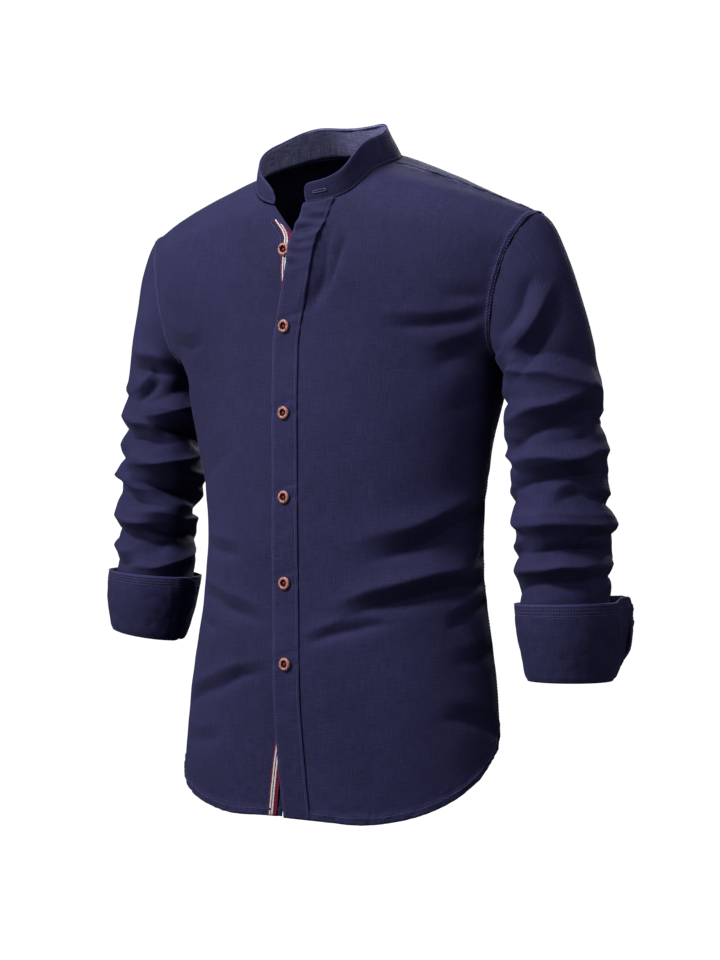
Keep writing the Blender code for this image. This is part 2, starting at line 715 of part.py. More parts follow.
def main():
    for old in list(bpy.data.objects):
        bpy.data.objects.remove(old, do_unlink=True)
    columns = NECK_COLUMNS + OUTER_COLUMNS
    rows = LOW_ROWS + HIGH_ROWS
    cloth("front_left", columns, rows, front_place(1), WALL)
    cloth("front_right", columns, rows, front_place(-1), WALL, flip=True)
    cloth("back", 2 * columns, rows, back_place, WALL)
    cloth("yoke", 2 * columns, YOKE_ROWS, yoke_place, WALL)
    strip = strip_place(STRIP_WIDTH / 2, 1, STRIP_WALL + STRIP_LIFT, RIDGE)
    cloth("front_strip", 2, STRIP_ROWS, strip, STRIP_WALL)
    tape = strip_place(TAPE_WIDTH / 2, -1, TAPE_WALL + STRIP_LIFT, TAPE_TOP)
    cloth("stand_tape", 1, STRIP_ROWS, tape, TAPE_WALL, colour=TAPE_COLOUR)
    cloth("collar_band", COLLAR_COLUMNS, COLLAR_ROWS, collar_place, BAND_WALL)
    around = 2 * HIGH_ROWS + YOKE_ROWS
    for side, word in ((1, "left"), (-1, "right")):
        cloth(
            f"sleeve_{word}", around, CAP_ROWS + TUBE_ROWS, sleeve_place(side), WALL, side > 0, True
        )
        cloth(f"cuff_{word}", CUFF_COLUMNS, CUFF_ROWS, cuff_place(side), CUFF_WALL, side > 0)
    buttons()


main()
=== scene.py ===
import math
from collections import namedtuple

import bmesh
import bpy
import numpy as np
from mathutils import Matrix, Vector, noise


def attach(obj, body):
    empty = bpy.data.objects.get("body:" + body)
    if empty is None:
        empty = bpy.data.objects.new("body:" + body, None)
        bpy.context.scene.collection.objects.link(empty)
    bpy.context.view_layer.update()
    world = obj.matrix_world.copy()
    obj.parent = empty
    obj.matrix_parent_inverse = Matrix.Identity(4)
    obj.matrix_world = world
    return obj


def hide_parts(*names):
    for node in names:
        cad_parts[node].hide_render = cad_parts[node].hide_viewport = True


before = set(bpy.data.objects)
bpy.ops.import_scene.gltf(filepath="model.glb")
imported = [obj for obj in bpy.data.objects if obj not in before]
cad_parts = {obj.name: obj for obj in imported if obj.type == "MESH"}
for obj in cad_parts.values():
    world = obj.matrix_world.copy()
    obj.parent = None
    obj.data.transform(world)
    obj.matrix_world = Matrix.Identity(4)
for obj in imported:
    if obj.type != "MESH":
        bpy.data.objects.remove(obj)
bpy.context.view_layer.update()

# ======================================================================= camera, light and floor
# The shirt floats upright at the height of a standing wearer, as on a form that was taken away.
# The camera stands to its left front, level with its middle. Soft lamps hang round it, over a
# pale floor whose rim curves up on all sides.
LENS_MM = 95.7
SENSOR_MM = 36
CAMERA_SHIFT = 18.5 / 960
CAMERA_TURN = math.radians(36)
CAMERA_DISTANCE = 2.7
CAMERA_HEIGHT = -0.325
LAMPS_AIM = Vector((0, 0, -0.3))
WORLD_LIGHT = 0.06
FLOOR_HEIGHT = -1.45
FLOOR_SIDES = 48
FLOOR_RIM = ((0.0, 0.0), (4.0, 0.0), (6.0, 0.0), (7.5, 0.35), (8.6, 1.2), (9.3, 2.6), (9.6, 4.6))

Lamp = namedtuple("Lamp", "name azimuth distance height size power")
LAMPS = (
    Lamp("key", -26, 2.2, 1.55, 0.8, 138),
    Lamp("fill", 66, 2.6, 0.55, 1.2, 22),
    Lamp("low", -34, 2.4, -0.60, 0.9, 18),
    Lamp("top", 20, 0.5, 1.9, 0.9, 26),
    Lamp("back", 196, 2.4, 1.0, 1.4, 66),
)


def around(azimuth, distance, height):
    """A place round the shirt. Azimuth 0 is in front of the wearer, a quarter turn at the left."""
    return Vector((distance * math.sin(azimuth), -distance * math.cos(azimuth), height))


def add_object(name, data):
    made = bpy.data.objects.new(name, data)
    bpy.context.scene.collection.objects.link(made)
    return made


def turned_round(profile, sides):
    """A form turned on a lathe. The profile gives distances from the axis and heights."""
    form = bmesh.new()
    points = [form.verts.new((across, 0, up)) for across, up in profile]
    joints = [form.edges.new(pair) for pair in zip(points, points[1:])]
    bmesh.ops.spin(
        form, geom=points + joints, cent=(0, 0, 0), axis=(0, 0, 1), angle=math.tau,
        steps=sides, use_merge=True,
    )
    bmesh.ops.remove_doubles(form, verts=form.verts, dist=1e-5)
    bmesh.ops.recalc_face_normals(form, faces=form.faces)
    return form


def finished(form, name, *finishes):
    """Makes an object of a form, smoothly shaded, with its finishes."""
    mesh = bpy.data.meshes.new(name)
    form.to_mesh(mesh)
    form.free()
    mesh.shade_smooth()
    for finish in finishes:
        mesh.materials.append(finish)
    return add_object(name, mesh)


def feed(tree, node, inputs):
    """Sets each input of a node to its constant, or links it to the output that is given for it."""
    for key, value in inputs.items():
        if isinstance(value, bpy.types.NodeSocket):
            tree.links.new(value, node.inputs[key])
        else:
            node.inputs[key].default_value = value


def shade(finish, inputs):
    feed(finish.node_tree, finish.node_tree.nodes["Principled BSDF"], inputs)


def material(name, inputs):
    made = bpy.data.materials.new(name)
    made.use_nodes = True
    shade(made, inputs)
    return made


camera_data = bpy.data.cameras.new("camera")
camera_data.lens = LENS_MM
camera_data.sensor_fit = "VERTICAL"
camera_data.sensor_height = SENSOR_MM
camera_data.shift_x = CAMERA_SHIFT
camera = add_object("camera", camera_data)
camera.location = around(CAMERA_TURN, CAMERA_DISTANCE, CAMERA_HEIGHT)
camera.rotation_euler = (math.radians(90), 0, CAMERA_TURN)
bpy.context.scene.camera = camera

for lamp in LAMPS:
    light = bpy.data.lights.new(lamp.name, "AREA")
    light.size = lamp.size
    light.energy = lamp.power
    made = add_object(lamp.name, light)
    made.location = around(math.radians(lamp.azimuth), lamp.distance, lamp.height)
    made.rotation_mode = "QUATERNION"
    made.rotation_quaternion = (made.location - LAMPS_AIM).to_track_quat("Z", "Y")

world = bpy.data.worlds.new("studio")
world.use_nodes = True
sky = world.node_tree.nodes["Background"]
feed(world.node_tree, sky, {"Color": (1.0, 1.0, 1.0, 1.0), "Strength": WORLD_LIGHT})
bpy.context.scene.world = world
bpy.context.scene.view_settings.view_transform = "Standard"

floor = turned_round(FLOOR_RIM, FLOOR_SIDES)
bmesh.ops.translate(floor, verts=floor.verts, vec=(0, 0, FLOOR_HEIGHT))
pale = material("pale_floor", {
    "Base Color": (0.92, 0.92, 0.92, 1), "Roughness": 0.9, "Emission Color": (1, 1, 1, 1),
    "Emission Strength": 0.93,
})
floor_object = finished(floor, "floor", pale)
floor_object.visible_diffuse = False
floor_object.visible_glossy = False

# ======================================================================= the right front
# A panel of navy slub cotton from the hem to the neck and the shoulder. Its edge is the button
# stand, and it lies under the left front. The form of the whole body starts here: levels run
# along the cloth from the front hem, over the shoulder, to the back hem, and across is -1 at the
# wearer's right edge and 1 at the left edge.
FRONT_ARMPIT = 0.488
FRONT_SEAM = 0.738
RIDGE = 0.745
BACK_ARMPIT = 0.950
NECK_SIDES = (0.289, 0.266)
NECK_FRONT_DROP = 0.075
NECK_FULLNESS = (0.40, 0.90)
NECK_BACK_DROP = 0.052
HEM_LOW = -0.677
HEM_SIDE = -0.582
HEM_FLAT = 0.20
STRIP_WIDTH = 0.032
STAND_EDGE = 0.012
CLOTH_WALL = 0.0009
HALF_GIRTH = 0.25
# The widths of the pressed seam allowances, and the seeds of their puckers.
HEM_FOLD, ARMHOLE_FOLD = 0.007, 0.0065
FRONT_HEM_SEED, ARMHOLE_SEED = 21.0, 33.0
# The share of a panel's columns inside the neck, and of its rows below the armpit.
NECK_COLUMNS, ARMPIT_ROWS = 0.36, 0.70
# A panel's columns and rows depend on each other: they start from this level and settle in rounds.
FIRST_LEVEL, ROUNDS = 0.3, 6
THREAD_PITCH = 0.00055
# A wave texture's scale for one band in a metre.
ONE_BAND = 0.05 * math.tau

Middle = namedtuple("Middle", "level height depth turn")
MIDDLE = [Middle(*row) for row in (
    (0.0, -0.7, -0.078, 105),
    (0.14, -0.56, -0.092, 105),
    (0.3, -0.4, -0.0955, 105),
    (0.4, -0.3, -0.0965, 102),
    (0.488, -0.212, -0.096, 95),
    (0.545, -0.155, -0.0965, 70),
    (0.6, -0.101, -0.1, 60),
    (0.64, -0.062, -0.097, 53),
    (0.675, -0.032, -0.088, 47),
    (0.712, -0.001, -0.058, 41),
    (0.745, 0.02, -0.005, 36),
    (0.775, 0.028, 0.032, 40),
    (0.79, 0.021, 0.052, 44),
    (0.817, -0.012, 0.076, 52),
    (0.863, -0.075, 0.101, 62),
    (0.905, -0.14, 0.112, 74),
    (0.95, -0.212, 0.113, 85),
    (1.038, -0.3, 0.105, 78),
    (1.138, -0.4, 0.098, 75),
    (1.298, -0.56, 0.098, 75),
    (1.438, -0.7, 0.08, 75),
)]
Side = namedtuple("Side", "height half_width depth swing")
SIDE = [Side(*row) for row in (
    (-0.7, 0.18, 0.022, 0.024),
    (-0.56, 0.178, 0.03, 0.01),
    (-0.4, 0.159, 0.03, 0.002),
    (-0.3, 0.172, 0.022, 0.0),
    (-0.212, 0.197, 0.012, 0.0),
)]
Armhole = namedtuple("Armhole", "level half_width depth height")
ARMHOLE = [Armhole(*row) for row in (
    (0.488, 0.197, 0.012, -0.212),
    (0.545, 0.2055, -0.03, -0.187),
    (0.601, 0.2157, -0.041, -0.141),
    (0.661, 0.23, -0.034, -0.0915),
    (0.697, 0.2415, -0.02, -0.066),
    (0.712, 0.2455, -0.01, -0.0595),
    (0.745, 0.2468, 0.002, -0.058),
    (0.758, 0.2455, 0.014, -0.0615),
    (0.781, 0.24, 0.03, -0.075),
    (0.817, 0.23, 0.046, -0.105),
    (0.863, 0.219, 0.054, -0.148),
    (0.905, 0.209, 0.044, -0.186),
    (0.95, 0.197, 0.012, -0.212),
)]
Parting = namedtuple("Parting", "height left right")
PARTING = [Parting(*row) for row in (
    (-0.7, 0.006, -0.034),
    (-0.62, 0.002, -0.019),
    (-0.56, 0.0, -0.007),
    (-0.51, 0.0, 0.0),
    (-0.19, 0.0, 0.0),
    (-0.16, 0.005, 0.0),
    (-0.12, 0.016, 0.0),
    (-0.087, 0.023, -0.001),
    (-0.073, 0.027, -0.003),
    (-0.056, 0.034, -0.018),
    (-0.036, 0.039, -0.036),
)]

# A fold runs from a to b and is bowed sideways by bow metres at its middle. It sinks in by depth,
# or stands out where that is below 0, and a crest of share crest runs along its upper side.
Fold = namedtuple("Fold", "across_a height_a across_b height_b bow width depth crest")
FRONT_FOLDS = [Fold(*row) for row in (
    (0.28, -0.412, 1.04, -0.35, 0.0, 0.01, 0.0115, 0.7),
    (0.7, -0.416, 1.04, -0.394, 0.002, 0.0055, 0.004, 0.6),
    (0.17, -0.474, 1.04, -0.428, -0.012, 0.0085, 0.013, 0.8),
    (0.08, -0.496, 0.4, -0.474, -0.004, 0.0055, 0.005, 0.6),
    (0.62, -0.476, 1.04, -0.448, -0.003, 0.0065, 0.0065, 0.6),
    (0.66, -0.51, 1.02, -0.496, 0.002, 0.008, 0.0045, 0.5),
    (0.54, -0.568, 1.02, -0.588, -0.006, 0.008, 0.005, 0.5),
    (0.62, -0.56, 1.0, -0.56, 0.004, 0.01, 0.0025, 0.3),
    (-0.54, -0.398, -0.24, -0.405, -0.001, 0.006, 0.005, 0.5),
    (-0.58, -0.442, -0.08, -0.476, -0.001, 0.006, 0.0058, 0.5),
    (-0.56, -0.47, -0.34, -0.484, 0.003, 0.005, 0.0024, 0.4),
    (-0.62, -0.568, -0.06, -0.52, 0.001, 0.006, 0.0062, 0.6),
    (-0.58, -0.606, -0.3, -0.594, 0.004, 0.007, 0.0028, 0.4),
    (-0.75, -0.33, -0.25, -0.29, 0.01, 0.013, 0.003, 0.3),
    (0.42, -0.174, 1.0, -0.158, 0.006, 0.0065, 0.0048, 0.6),
    (0.54, -0.208, 1.0, -0.186, 0.004, 0.007, 0.0048, 0.6),
    (0.62, -0.255, 0.97, -0.222, 0.008, 0.016, 0.005, 0.2),
    (0.7, -0.135, 1.0, -0.14, 0.003, 0.006, 0.002, 0.4),
    (-0.9, -0.17, -0.46, -0.18, 0.006, 0.007, 0.0036, 0.5),
    (-0.94, -0.2, -0.62, -0.222, 0.004, 0.008, 0.0026, 0.5),
    (0.22, -0.064, 0.11, -0.155, -0.008, 0.007, 0.005, 0.6),
    (0.29, -0.07, 0.17, -0.14, -0.006, 0.006, 0.0032, 0.6),
    (-0.2, -0.06, -0.13, -0.13, 0.004, 0.008, 0.002, 0.4),
    (0.16, -0.375, 0.1, -0.33, 0.003, 0.008, 0.0018, 0.3),
    (-1.04, -0.365, -0.74, -0.392, 0.004, 0.009, 0.0055, 0.5),
    (-1.04, -0.432, -0.72, -0.448, 0.005, 0.009, 0.006, 0.5),
    (-1.04, -0.52, -0.76, -0.5, 0.005, 0.01, 0.0045, 0.5),
)]
BACK_FOLDS = [Fold(*row) for row in (
    (-1.0, -0.345, -0.15, -0.405, 0.014, 0.013, 0.008, 0.5),
    (1.0, -0.34, 0.1, -0.395, 0.012, 0.013, 0.008, 0.5),
    (-0.98, -0.385, -0.35, -0.425, 0.008, 0.009, 0.0045, 0.5),
    (-1.0, -0.425, 0.1, -0.455, 0.016, 0.013, 0.0085, 0.5),
    (1.0, -0.428, 0.08, -0.482, 0.014, 0.012, 0.008, 0.5),
    (0.98, -0.47, 0.45, -0.505, 0.006, 0.009, 0.004, 0.5),
    (-0.98, -0.52, -0.3, -0.552, 0.008, 0.012, 0.005, 0.4),
    (0.95, -0.565, 0.35, -0.545, 0.008, 0.012, 0.005, 0.4),
    (1.0, -0.18, 0.42, -0.245, 0.014, 0.011, 0.0055, 0.5),
    (-1.0, -0.18, -0.42, -0.24, -0.014, 0.011, 0.0055, 0.5),
    (0.98, -0.215, 0.6, -0.275, 0.008, 0.009, 0.0035, 0.4),
    (-0.98, -0.215, -0.6, -0.272, -0.008, 0.009, 0.0035, 0.4),
    (0.25, -0.18, 0.12, -0.33, 0.01, 0.016, 0.003, 0.3),
    (-0.28, -0.19, -0.1, -0.32, -0.01, 0.016, 0.003, 0.3),
)]


def smooth(rows, at):
    """The values of the rows at places between them, along a smooth curve."""
    table = np.array(rows, float)
    place, values = table[:, 0], table[:, 1:]
    last = len(place) - 1
    before = np.maximum(np.arange(last + 1) - 1, 0)
    after = np.minimum(np.arange(last + 1) + 1, last)
    slopes = (values[after] - values[before]) / (place[after] - place[before])[:, None]
    at = np.clip(at, place[0], place[-1])
    i = np.clip(np.searchsorted(place, at) - 1, 0, last - 1)
    span = (place[i + 1] - place[i])[:, None]
    s = (at - place[i])[:, None] / span
    found = values[i] * (2 * s**3 - 3 * s**2 + 1) + slopes[i] * span * (s**3 - 2 * s**2 + s)
    found += values[i + 1] * (3 * s**2 - 2 * s**3) + slopes[i + 1] * span * (s**3 - s**2)
    return found


def ease(x, low, high):
    """0 up to low, 1 from high on, and a smooth slope between them."""
    s = np.clip((x - low) / (high - low), 0, 1)
    return s * s * (3 - 2 * s)


def bell(x, width):
    """1 where x is 0, falling smoothly to almost nothing at two widths."""
    return np.exp(-((x / width) ** 2))


def unit(vectors):
    return vectors / np.maximum(np.linalg.norm(vectors, axis=1), 1e-9)[:, None]


def ripple(points, size, seed):
    """Smooth uneven values between -1 and 1 that change over about size metres."""
    shift = Vector((seed, 2.7 * seed, -1.3 * seed))
    return np.array([noise.noise(Vector(point) / size + shift) for point in points])


def edge(level, side):
    """The body's edge: the side seam below the armpits, the armhole above them."""
    hole = smooth(ARMHOLE, level)
    height = smooth(MIDDLE, level)[:, 0]
    seam = smooth(SIDE, height)
    inside = (level >= FRONT_ARMPIT) & (level <= BACK_ARMPIT)
    out = np.where(inside, hole[:, 0], seam[:, 0] + np.where(side < 0, seam[:, 2], 0))
    return np.stack(
        [side * out, np.where(inside, hole[:, 1], seam[:, 1]), np.where(inside, hole[:, 2], height)], 1
    )


def bare_point(across, level):
    """The body with no folds."""
    side = np.where(across >= 0, 1.0, -1.0)
    share = np.abs(across)
    height, depth, turn = smooth(MIDDLE, level).T
    turn = np.radians(turn)
    end = edge(level, side)
    sag = 0.25
    fall = (np.hypot(share, sag) - sag) / (math.hypot(1, sag) - sag)
    return np.stack(
        [
            end[:, 0] * np.sin(turn * share) / np.sin(turn),
            depth + (end[:, 1] - depth) * (1 - np.cos(turn * share)) / (1 - np.cos(turn)),
            height + (end[:, 2] - height) * fall,
        ],
        1,
    )


def bare_normal(across, level):
    step = 0.004
    along = bare_point(across, level + step) - bare_point(across, level - step)
    sideways = bare_point(across + step, level) - bare_point(across - step, level)
    return unit(np.cross(sideways, along))


def sunk(x, y, ax, ay, bx, by, bow, width, depth, crest, sharp=1.15):
    """How far one fold sinks in at the points (x, y). Cloth hangs over it from a crest above, and comes
    out steeply below. The lower sharp is, the crisper is the bottom of the fold."""
    length = math.hypot(bx - ax, by - ay)
    along = ((x - ax) * (bx - ax) + (y - ay) * (by - ay)) / length
    s = np.clip(along / length, 0, 1)
    off = ((x - ax) * (by - ay) - (y - ay) * (bx - ax)) / length - bow * 4 * s * (1 - s)
    upper = -np.sign(bx - ax)
    taper = ease(along, -width, 0.35 * length) * (1 - ease(along, 0.65 * length, length + width))
    above = off * upper / width
    valley = np.exp(-(np.abs(np.where(above > 0, above / 1.5, above / 0.75)) ** sharp))
    overhang = np.exp(-(np.abs((above - 2.3) / 1.3) ** (sharp + 0.25)))
    return depth * taper * (valley - crest * overhang)


def body_point(across, level, out=0.0):
    """The body with its folds and its unevenness, moved out along its normal."""
    points = bare_point(across, level)
    drift = 0.006 * np.stack([ripple(points, 0.055, 3.1), ripple(points, 0.055, 7.7)], 1)
    sink = np.zeros(len(points))
    x = across * HALF_GIRTH + drift[:, 0]
    y = points[:, 2] + drift[:, 1]
    front = level < RIDGE
    for folds, here in ((FRONT_FOLDS, front), (BACK_FOLDS, ~front)):
        for fold in folds:
            sink += here * sunk(
                x, y, fold.across_a * HALF_GIRTH, fold.height_a, fold.across_b * HALF_GIRTH,
                fold.height_b, fold.bow, fold.width, fold.depth, fold.crest,
            )
    sink += 0.0012 * ripple(points, 0.07, 11.0) + 0.0004 * ripple(points, 0.022, 5.0)
    return points + bare_normal(across, level) * (out - sink)[:, None]


def girth(level):
    """Cloth from the middle to the edge, in metres."""
    turn = np.radians(smooth(MIDDLE, level)[:, 2])
    return edge(level, np.ones(len(level)))[:, 0] * turn / np.sin(turn)


def parting(level, side):
    return smooth(PARTING, smooth(MIDDLE, level)[:, 0])[:, 0 if side > 0 else 1]


def front_edge(level, side):
    shift = parting(level, side)
    return (shift - STRIP_WIDTH / 2 if side > 0 else shift + STAND_EDGE) / girth(level)


def hem_level(across):
    """The level of the front hem."""
    share = np.abs(across)
    rise = np.maximum(share - HEM_FLAT, 0) / (1 - HEM_FLAT)
    height = HEM_LOW + 0.003 * (1 - ease(share, 0, 0.3)) + (HEM_SIDE - HEM_LOW) * rise**1.75
    return height - MIDDLE[0].height


def neck_side(across):
    return np.where(across > 0, *NECK_SIDES)


def neck_level(across, back=False):
    inside = np.sqrt(np.maximum(1 - (across / neck_side(across)) ** 2, 0))
    if back:
        return FRONT_SEAM + NECK_BACK_DROP * inside
    return FRONT_SEAM - NECK_FRONT_DROP * inside ** np.where(across > 0, *NECK_FULLNESS)


def column_share(u, start, side):
    """The share of a column of a panel: first inside the neck, then on to the side."""
    neck = neck_side(side)
    first = np.arcsin(np.clip(start / neck, -1, 1))
    within = neck * np.sin(first + (math.pi / 2 - first) * np.minimum(u / NECK_COLUMNS, 1))
    beyond = neck + (1 - neck) * (u - NECK_COLUMNS) / (1 - NECK_COLUMNS)
    return np.where(u <= NECK_COLUMNS, within, beyond)


def row_level(v, low, split, high):
    """The level of a row of a panel: first up to the armpit, then on to the top."""
    below = low + (split - low) * v / ARMPIT_ROWS
    above = split + (high - split) * (v - ARMPIT_ROWS) / (1 - ARMPIT_ROWS)
    return np.where(v <= ARMPIT_ROWS, below, above)


def stack(share, side):
    """The left front laps over the right: each gives way by half of what lies between them."""
    return side * 0.0021 * (1 - ease(np.abs(share), 0.10, 0.30))


def seam_pucker(points, distance, width, seed):
    """A seam allowance pressed flat under the cloth: a low ridge, drawn into puckers by its rows of
    stitches."""
    ridge = (1 - ease(distance, width, width + 0.0014)) * 0.0010
    drawn = ripple(points, 0.0060, seed) * 0.0015 + ripple(points, 0.015, seed + 4) * 0.0008
    return ridge + drawn * bell(distance, width * 1.9)


def hole_worn(to_hole):
    """Paler cloth on the ridge beside an armhole's seam."""
    return 0.6 * bell(to_hole - 0.006, 0.0012)


def weave_uv(share, level, side):
    return np.stack([side * share * girth(level), level], 1)


def cloth(name, columns, rows, place, wall=CLOTH_WALL, turned=False, tube=False):
    """A finely divided grid laid out by place(u, v), which gives points, thread coordinates in metres
    and how worn each point is. It gets a wall inwards."""
    grid = bmesh.new()
    bmesh.ops.create_grid(grid, x_segments=columns, y_segments=rows, size=0.5)
    at = np.array([vert.co[:2] for vert in grid.verts]) + 0.5
    points, threads, worn = place(at[:, 0], at[:, 1])
    thread_map = grid.loops.layers.uv.new("threads")
    wear_map = grid.verts.layers.float.new("worn")
    for vert, point, value in zip(grid.verts, points, worn):
        vert.co = point
        vert[wear_map] = value
    grid.verts.index_update()
    for face in grid.faces:
        for loop in face.loops:
            loop[thread_map].uv = threads[loop.vert.index]
    if tube:
        bmesh.ops.remove_doubles(grid, verts=grid.verts, dist=1e-6)
    if turned:
        bmesh.ops.reverse_faces(grid, faces=grid.faces)
    made = finished(grid, name)
    solid = made.modifiers.new("wall", "SOLIDIFY")
    solid.thickness = wall
    solid.offset = -1
    return made


def add(tree, kind, output, inputs=None, **settings):
    """Adds a node with its settings and inputs, and gives one of its outputs."""
    node = tree.nodes.new(f"ShaderNode{kind}")
    for key, value in settings.items():
        setattr(node, key, value)
    feed(tree, node, inputs or {})
    return node.outputs[output]


def cotton(name, dark, light, slub):
    """Plain-weave slub cotton: thin and thick threads both ways, a fine weave, and paler worn
    edges."""
    made = material(name, {
        "Roughness": 0.82, "Specular IOR Level": 0.12, "Sheen Weight": 0.035,
        "Sheen Roughness": 0.45, "Sheen Tint": (0.55, 0.56, 0.80, 1),
    })
    tree = made.node_tree
    threads = add(tree, "UVMap", "UV", uv_map="threads")
    streaks = []
    for across, along, seed in ((0.016, 0.00085, 0.0), (0.00085, 0.022, 9.0)):
        scaled = add(tree, "Mapping", "Vector", {
            "Vector": threads, "Scale": (1 / across, 1 / along, 1), "Location": (seed, seed, seed),
        })
        streak = add(tree, "TexNoise", "Fac", {
            "Vector": scaled, "Scale": 1.0, "Detail": 3.0, "Roughness": 0.6,
        })
        streaks.append(add(tree, "MapRange", "Result", {
            "Value": streak, "From Min": 0.42, "From Max": 0.74,
        }))
    both = add(tree, "Math", "Value", dict(enumerate(streaks)), operation="MAXIMUM")
    place = add(tree, "TexCoord", "Object")
    blotch = add(tree, "TexNoise", "Fac", {"Vector": place, "Scale": 9.0, "Detail": 4.0})
    amount = add(tree, "Math", "Value", {0: both, 1: slub}, operation="MULTIPLY")
    spread = add(tree, "Math", "Value", {0: blotch, 1: 0.35, 2: amount}, operation="MULTIPLY_ADD")
    worn = add(tree, "Attribute", "Fac", attribute_name="worn")
    faded = add(
        tree, "Math", "Value", {0: worn, 1: 0.5, 2: spread}, operation="MULTIPLY_ADD", use_clamp=True
    )
    colour = add(tree, "Mix", 2, {0: faded, 6: (*dark, 1), 7: (*light, 1)}, data_type="RGBA")
    waves = []
    for direction in ("X", "Y"):
        waves.append(add(tree, "TexWave", "Fac", {
            "Vector": threads, "Scale": ONE_BAND / THREAD_PITCH, "Distortion": 1.2, "Detail": 1.0,
            "Detail Scale": 0.4,
        }, bands_direction=direction))
    woven = add(tree, "Math", "Value", dict(enumerate(waves)), operation="MULTIPLY")
    fine = add(tree, "Bump", "Normal", {"Height": woven, "Strength": 0.35, "Distance": 0.00018})
    coarse = add(tree, "Bump", "Normal", {
        "Height": both, "Normal": fine, "Strength": 0.6, "Distance": 0.00022,
    })
    shade(made, {"Base Color": colour, "Normal": coarse})
    return made


shirting = cotton("navy_slub_cotton", (0.0042, 0.0041, 0.0175), (0.0282, 0.0270, 0.0945), 0.46)


def dress(piece, node, finish):
    """Gives the piece its finish, hangs it on the root body and hides the CAD part it was cut from."""
    piece.data.materials.append(finish)
    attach(piece, "root")
    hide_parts(node)


def front(side):
    """A front, the wearer's left where side is 1 and the right where it is -1."""

    def place(u, v):
        level = np.full(len(u), FIRST_LEVEL)
        for _ in range(ROUNDS):
            share = column_share(u, front_edge(level, side) * side, side)
            low = hem_level(share)
            high = np.where(share < neck_side(side), neck_level(side * share), FRONT_SEAM)
            level = row_level(v, low, FRONT_ARMPIT, high)
        across = side * share
        bare = bare_point(across, level)
        to_side = (1 - share) * girth(level)
        to_hem = (level - low) * 0.9
        to_hole = np.where(level > FRONT_ARMPIT - 0.004, to_side, 1.0)
        to_shoulder = np.where(share > 0.3, (FRONT_SEAM - level), 1.0)
        out = stack(share, side)
        out += seam_pucker(bare, to_hem, HEM_FOLD, FRONT_HEM_SEED)
        out += seam_pucker(bare, to_hole, ARMHOLE_FOLD, ARMHOLE_SEED)
        out += seam_pucker(bare, to_shoulder, 0.003, 41.0) * 0.6
        worn = bell(to_hem, 0.0015) + hole_worn(to_hole)
        return body_point(across, level, out), weave_uv(share, level, side), worn

    return place


front_right = cloth("front_right_cloth", 96, 250, front(-1), turned=True)
dress(front_right, "front_right", shirting)

# ======================================================================= the striped tape
# A narrow woven tape, red, white, navy, white and red, sewn flat on the right front's button
# stand. It shows at the open neck and where the fronts part above the hem.
TAPE_WIDTH = 0.0115
TAPE_TOP = 0.647
TAPE_WALL = 0.0006
TAPE_RIB = 0.0009
OVER_CLOTH = 0.0008
RED, WHITE, NAVY = (0.110, 0.003, 0.021, 1), (0.52, 0.47, 0.48, 1), (0.010, 0.006, 0.022, 1)
TAPE_STRIPES = ((0.0, RED), (0.15, WHITE), (0.30, NAVY), (0.40, WHITE), (0.56, RED))


def strip(half_width, side, out, top):
    """A strip that lies on a front, u across it, v from the hem up."""

    def place(u, v):
        across_m = half_width * (2 * u - 1)
        level = np.full(len(u), FIRST_LEVEL)
        for _ in range(ROUNDS):
            across = (parting(level, side) + across_m) / girth(level)
            low = hem_level(across)
            high = np.minimum(neck_level(across) - 0.0003, top)
            level = low + (high - low) * v
        lift = out(across_m, bare_point(across, level)) if callable(out) else out
        points = body_point(across, level, stack(across, side) + lift)
        worn = bell(half_width - np.abs(across_m), 0.0010)
        return points, np.stack([across_m, level], 1), worn

    return place


def tape_place(u, v):
    """The tape: at its top it keeps to the edge of the front and narrows, where it is turned in."""
    kept = u * (1 - 0.72 * ease(v, 0.972, 1.0))
    shifted = kept + 0.50 * ease(v, 0.90, 1.0)
    points, threads, worn = strip(TAPE_WIDTH / 2, -1, TAPE_WALL + OVER_CLOTH, TAPE_TOP)(shifted, v)
    threads[:, 0] = (kept - 0.5) * TAPE_WIDTH
    return points, threads, worn


tape = cloth("stand_tape_cloth", 8, 240, tape_place, TAPE_WALL)

woven_tape = material("striped_tape", {"Roughness": 0.7, "Specular IOR Level": 0.1})
tree = woven_tape.node_tree
threads = add(tree, "UVMap", "UV", uv_map="threads")
apart = add(tree, "SeparateXYZ", "X", {"Vector": threads})
across = add(tree, "MapRange", "Result", {
    "Value": apart, "From Min": -TAPE_WIDTH / 2, "From Max": TAPE_WIDTH / 2,
})
stripes = add(tree, "ValToRGB", "Color", {"Fac": across})
ramp = stripes.node.color_ramp
ramp.interpolation = "CONSTANT"
for number, (start, stripe) in enumerate(TAPE_STRIPES):
    stop = ramp.elements[number] if number < 2 else ramp.elements.new(start)
    stop.position = start
    stop.color = stripe
ribs = add(tree, "TexWave", "Color", {
    "Vector": threads, "Scale": ONE_BAND / TAPE_RIB, "Distortion": 0.6,
}, bands_direction="Y")
shaded = add(
    tree, "Mix", 2, {0: 0.28, 6: stripes, 7: ribs}, data_type="RGBA", blend_type="MULTIPLY"
)
raised = add(tree, "Bump", "Normal", {
    "Height": ribs.node.outputs["Fac"], "Strength": 0.6, "Distance": 0.0002,
})
shade(woven_tape, {"Base Color": shaded, "Normal": raised})
dress(tape, "stand_tape", woven_tape)

# ======================================================================= the left front
# The mirror piece of the right front. It laps over it, and a folded strip of the same cotton is
# sewn on along its edge, drawn in a little at each button.
BUTTON_HEIGHTS = (-0.088, -0.167, -0.256, -0.3425, -0.431, -0.514)
STRIP_WALL = 0.0010
STRIP_ROW_INSET = 0.0026

front_left = cloth("front_left_cloth", 96, 250, front(1))
dress(front_left, "front_left", shirting)


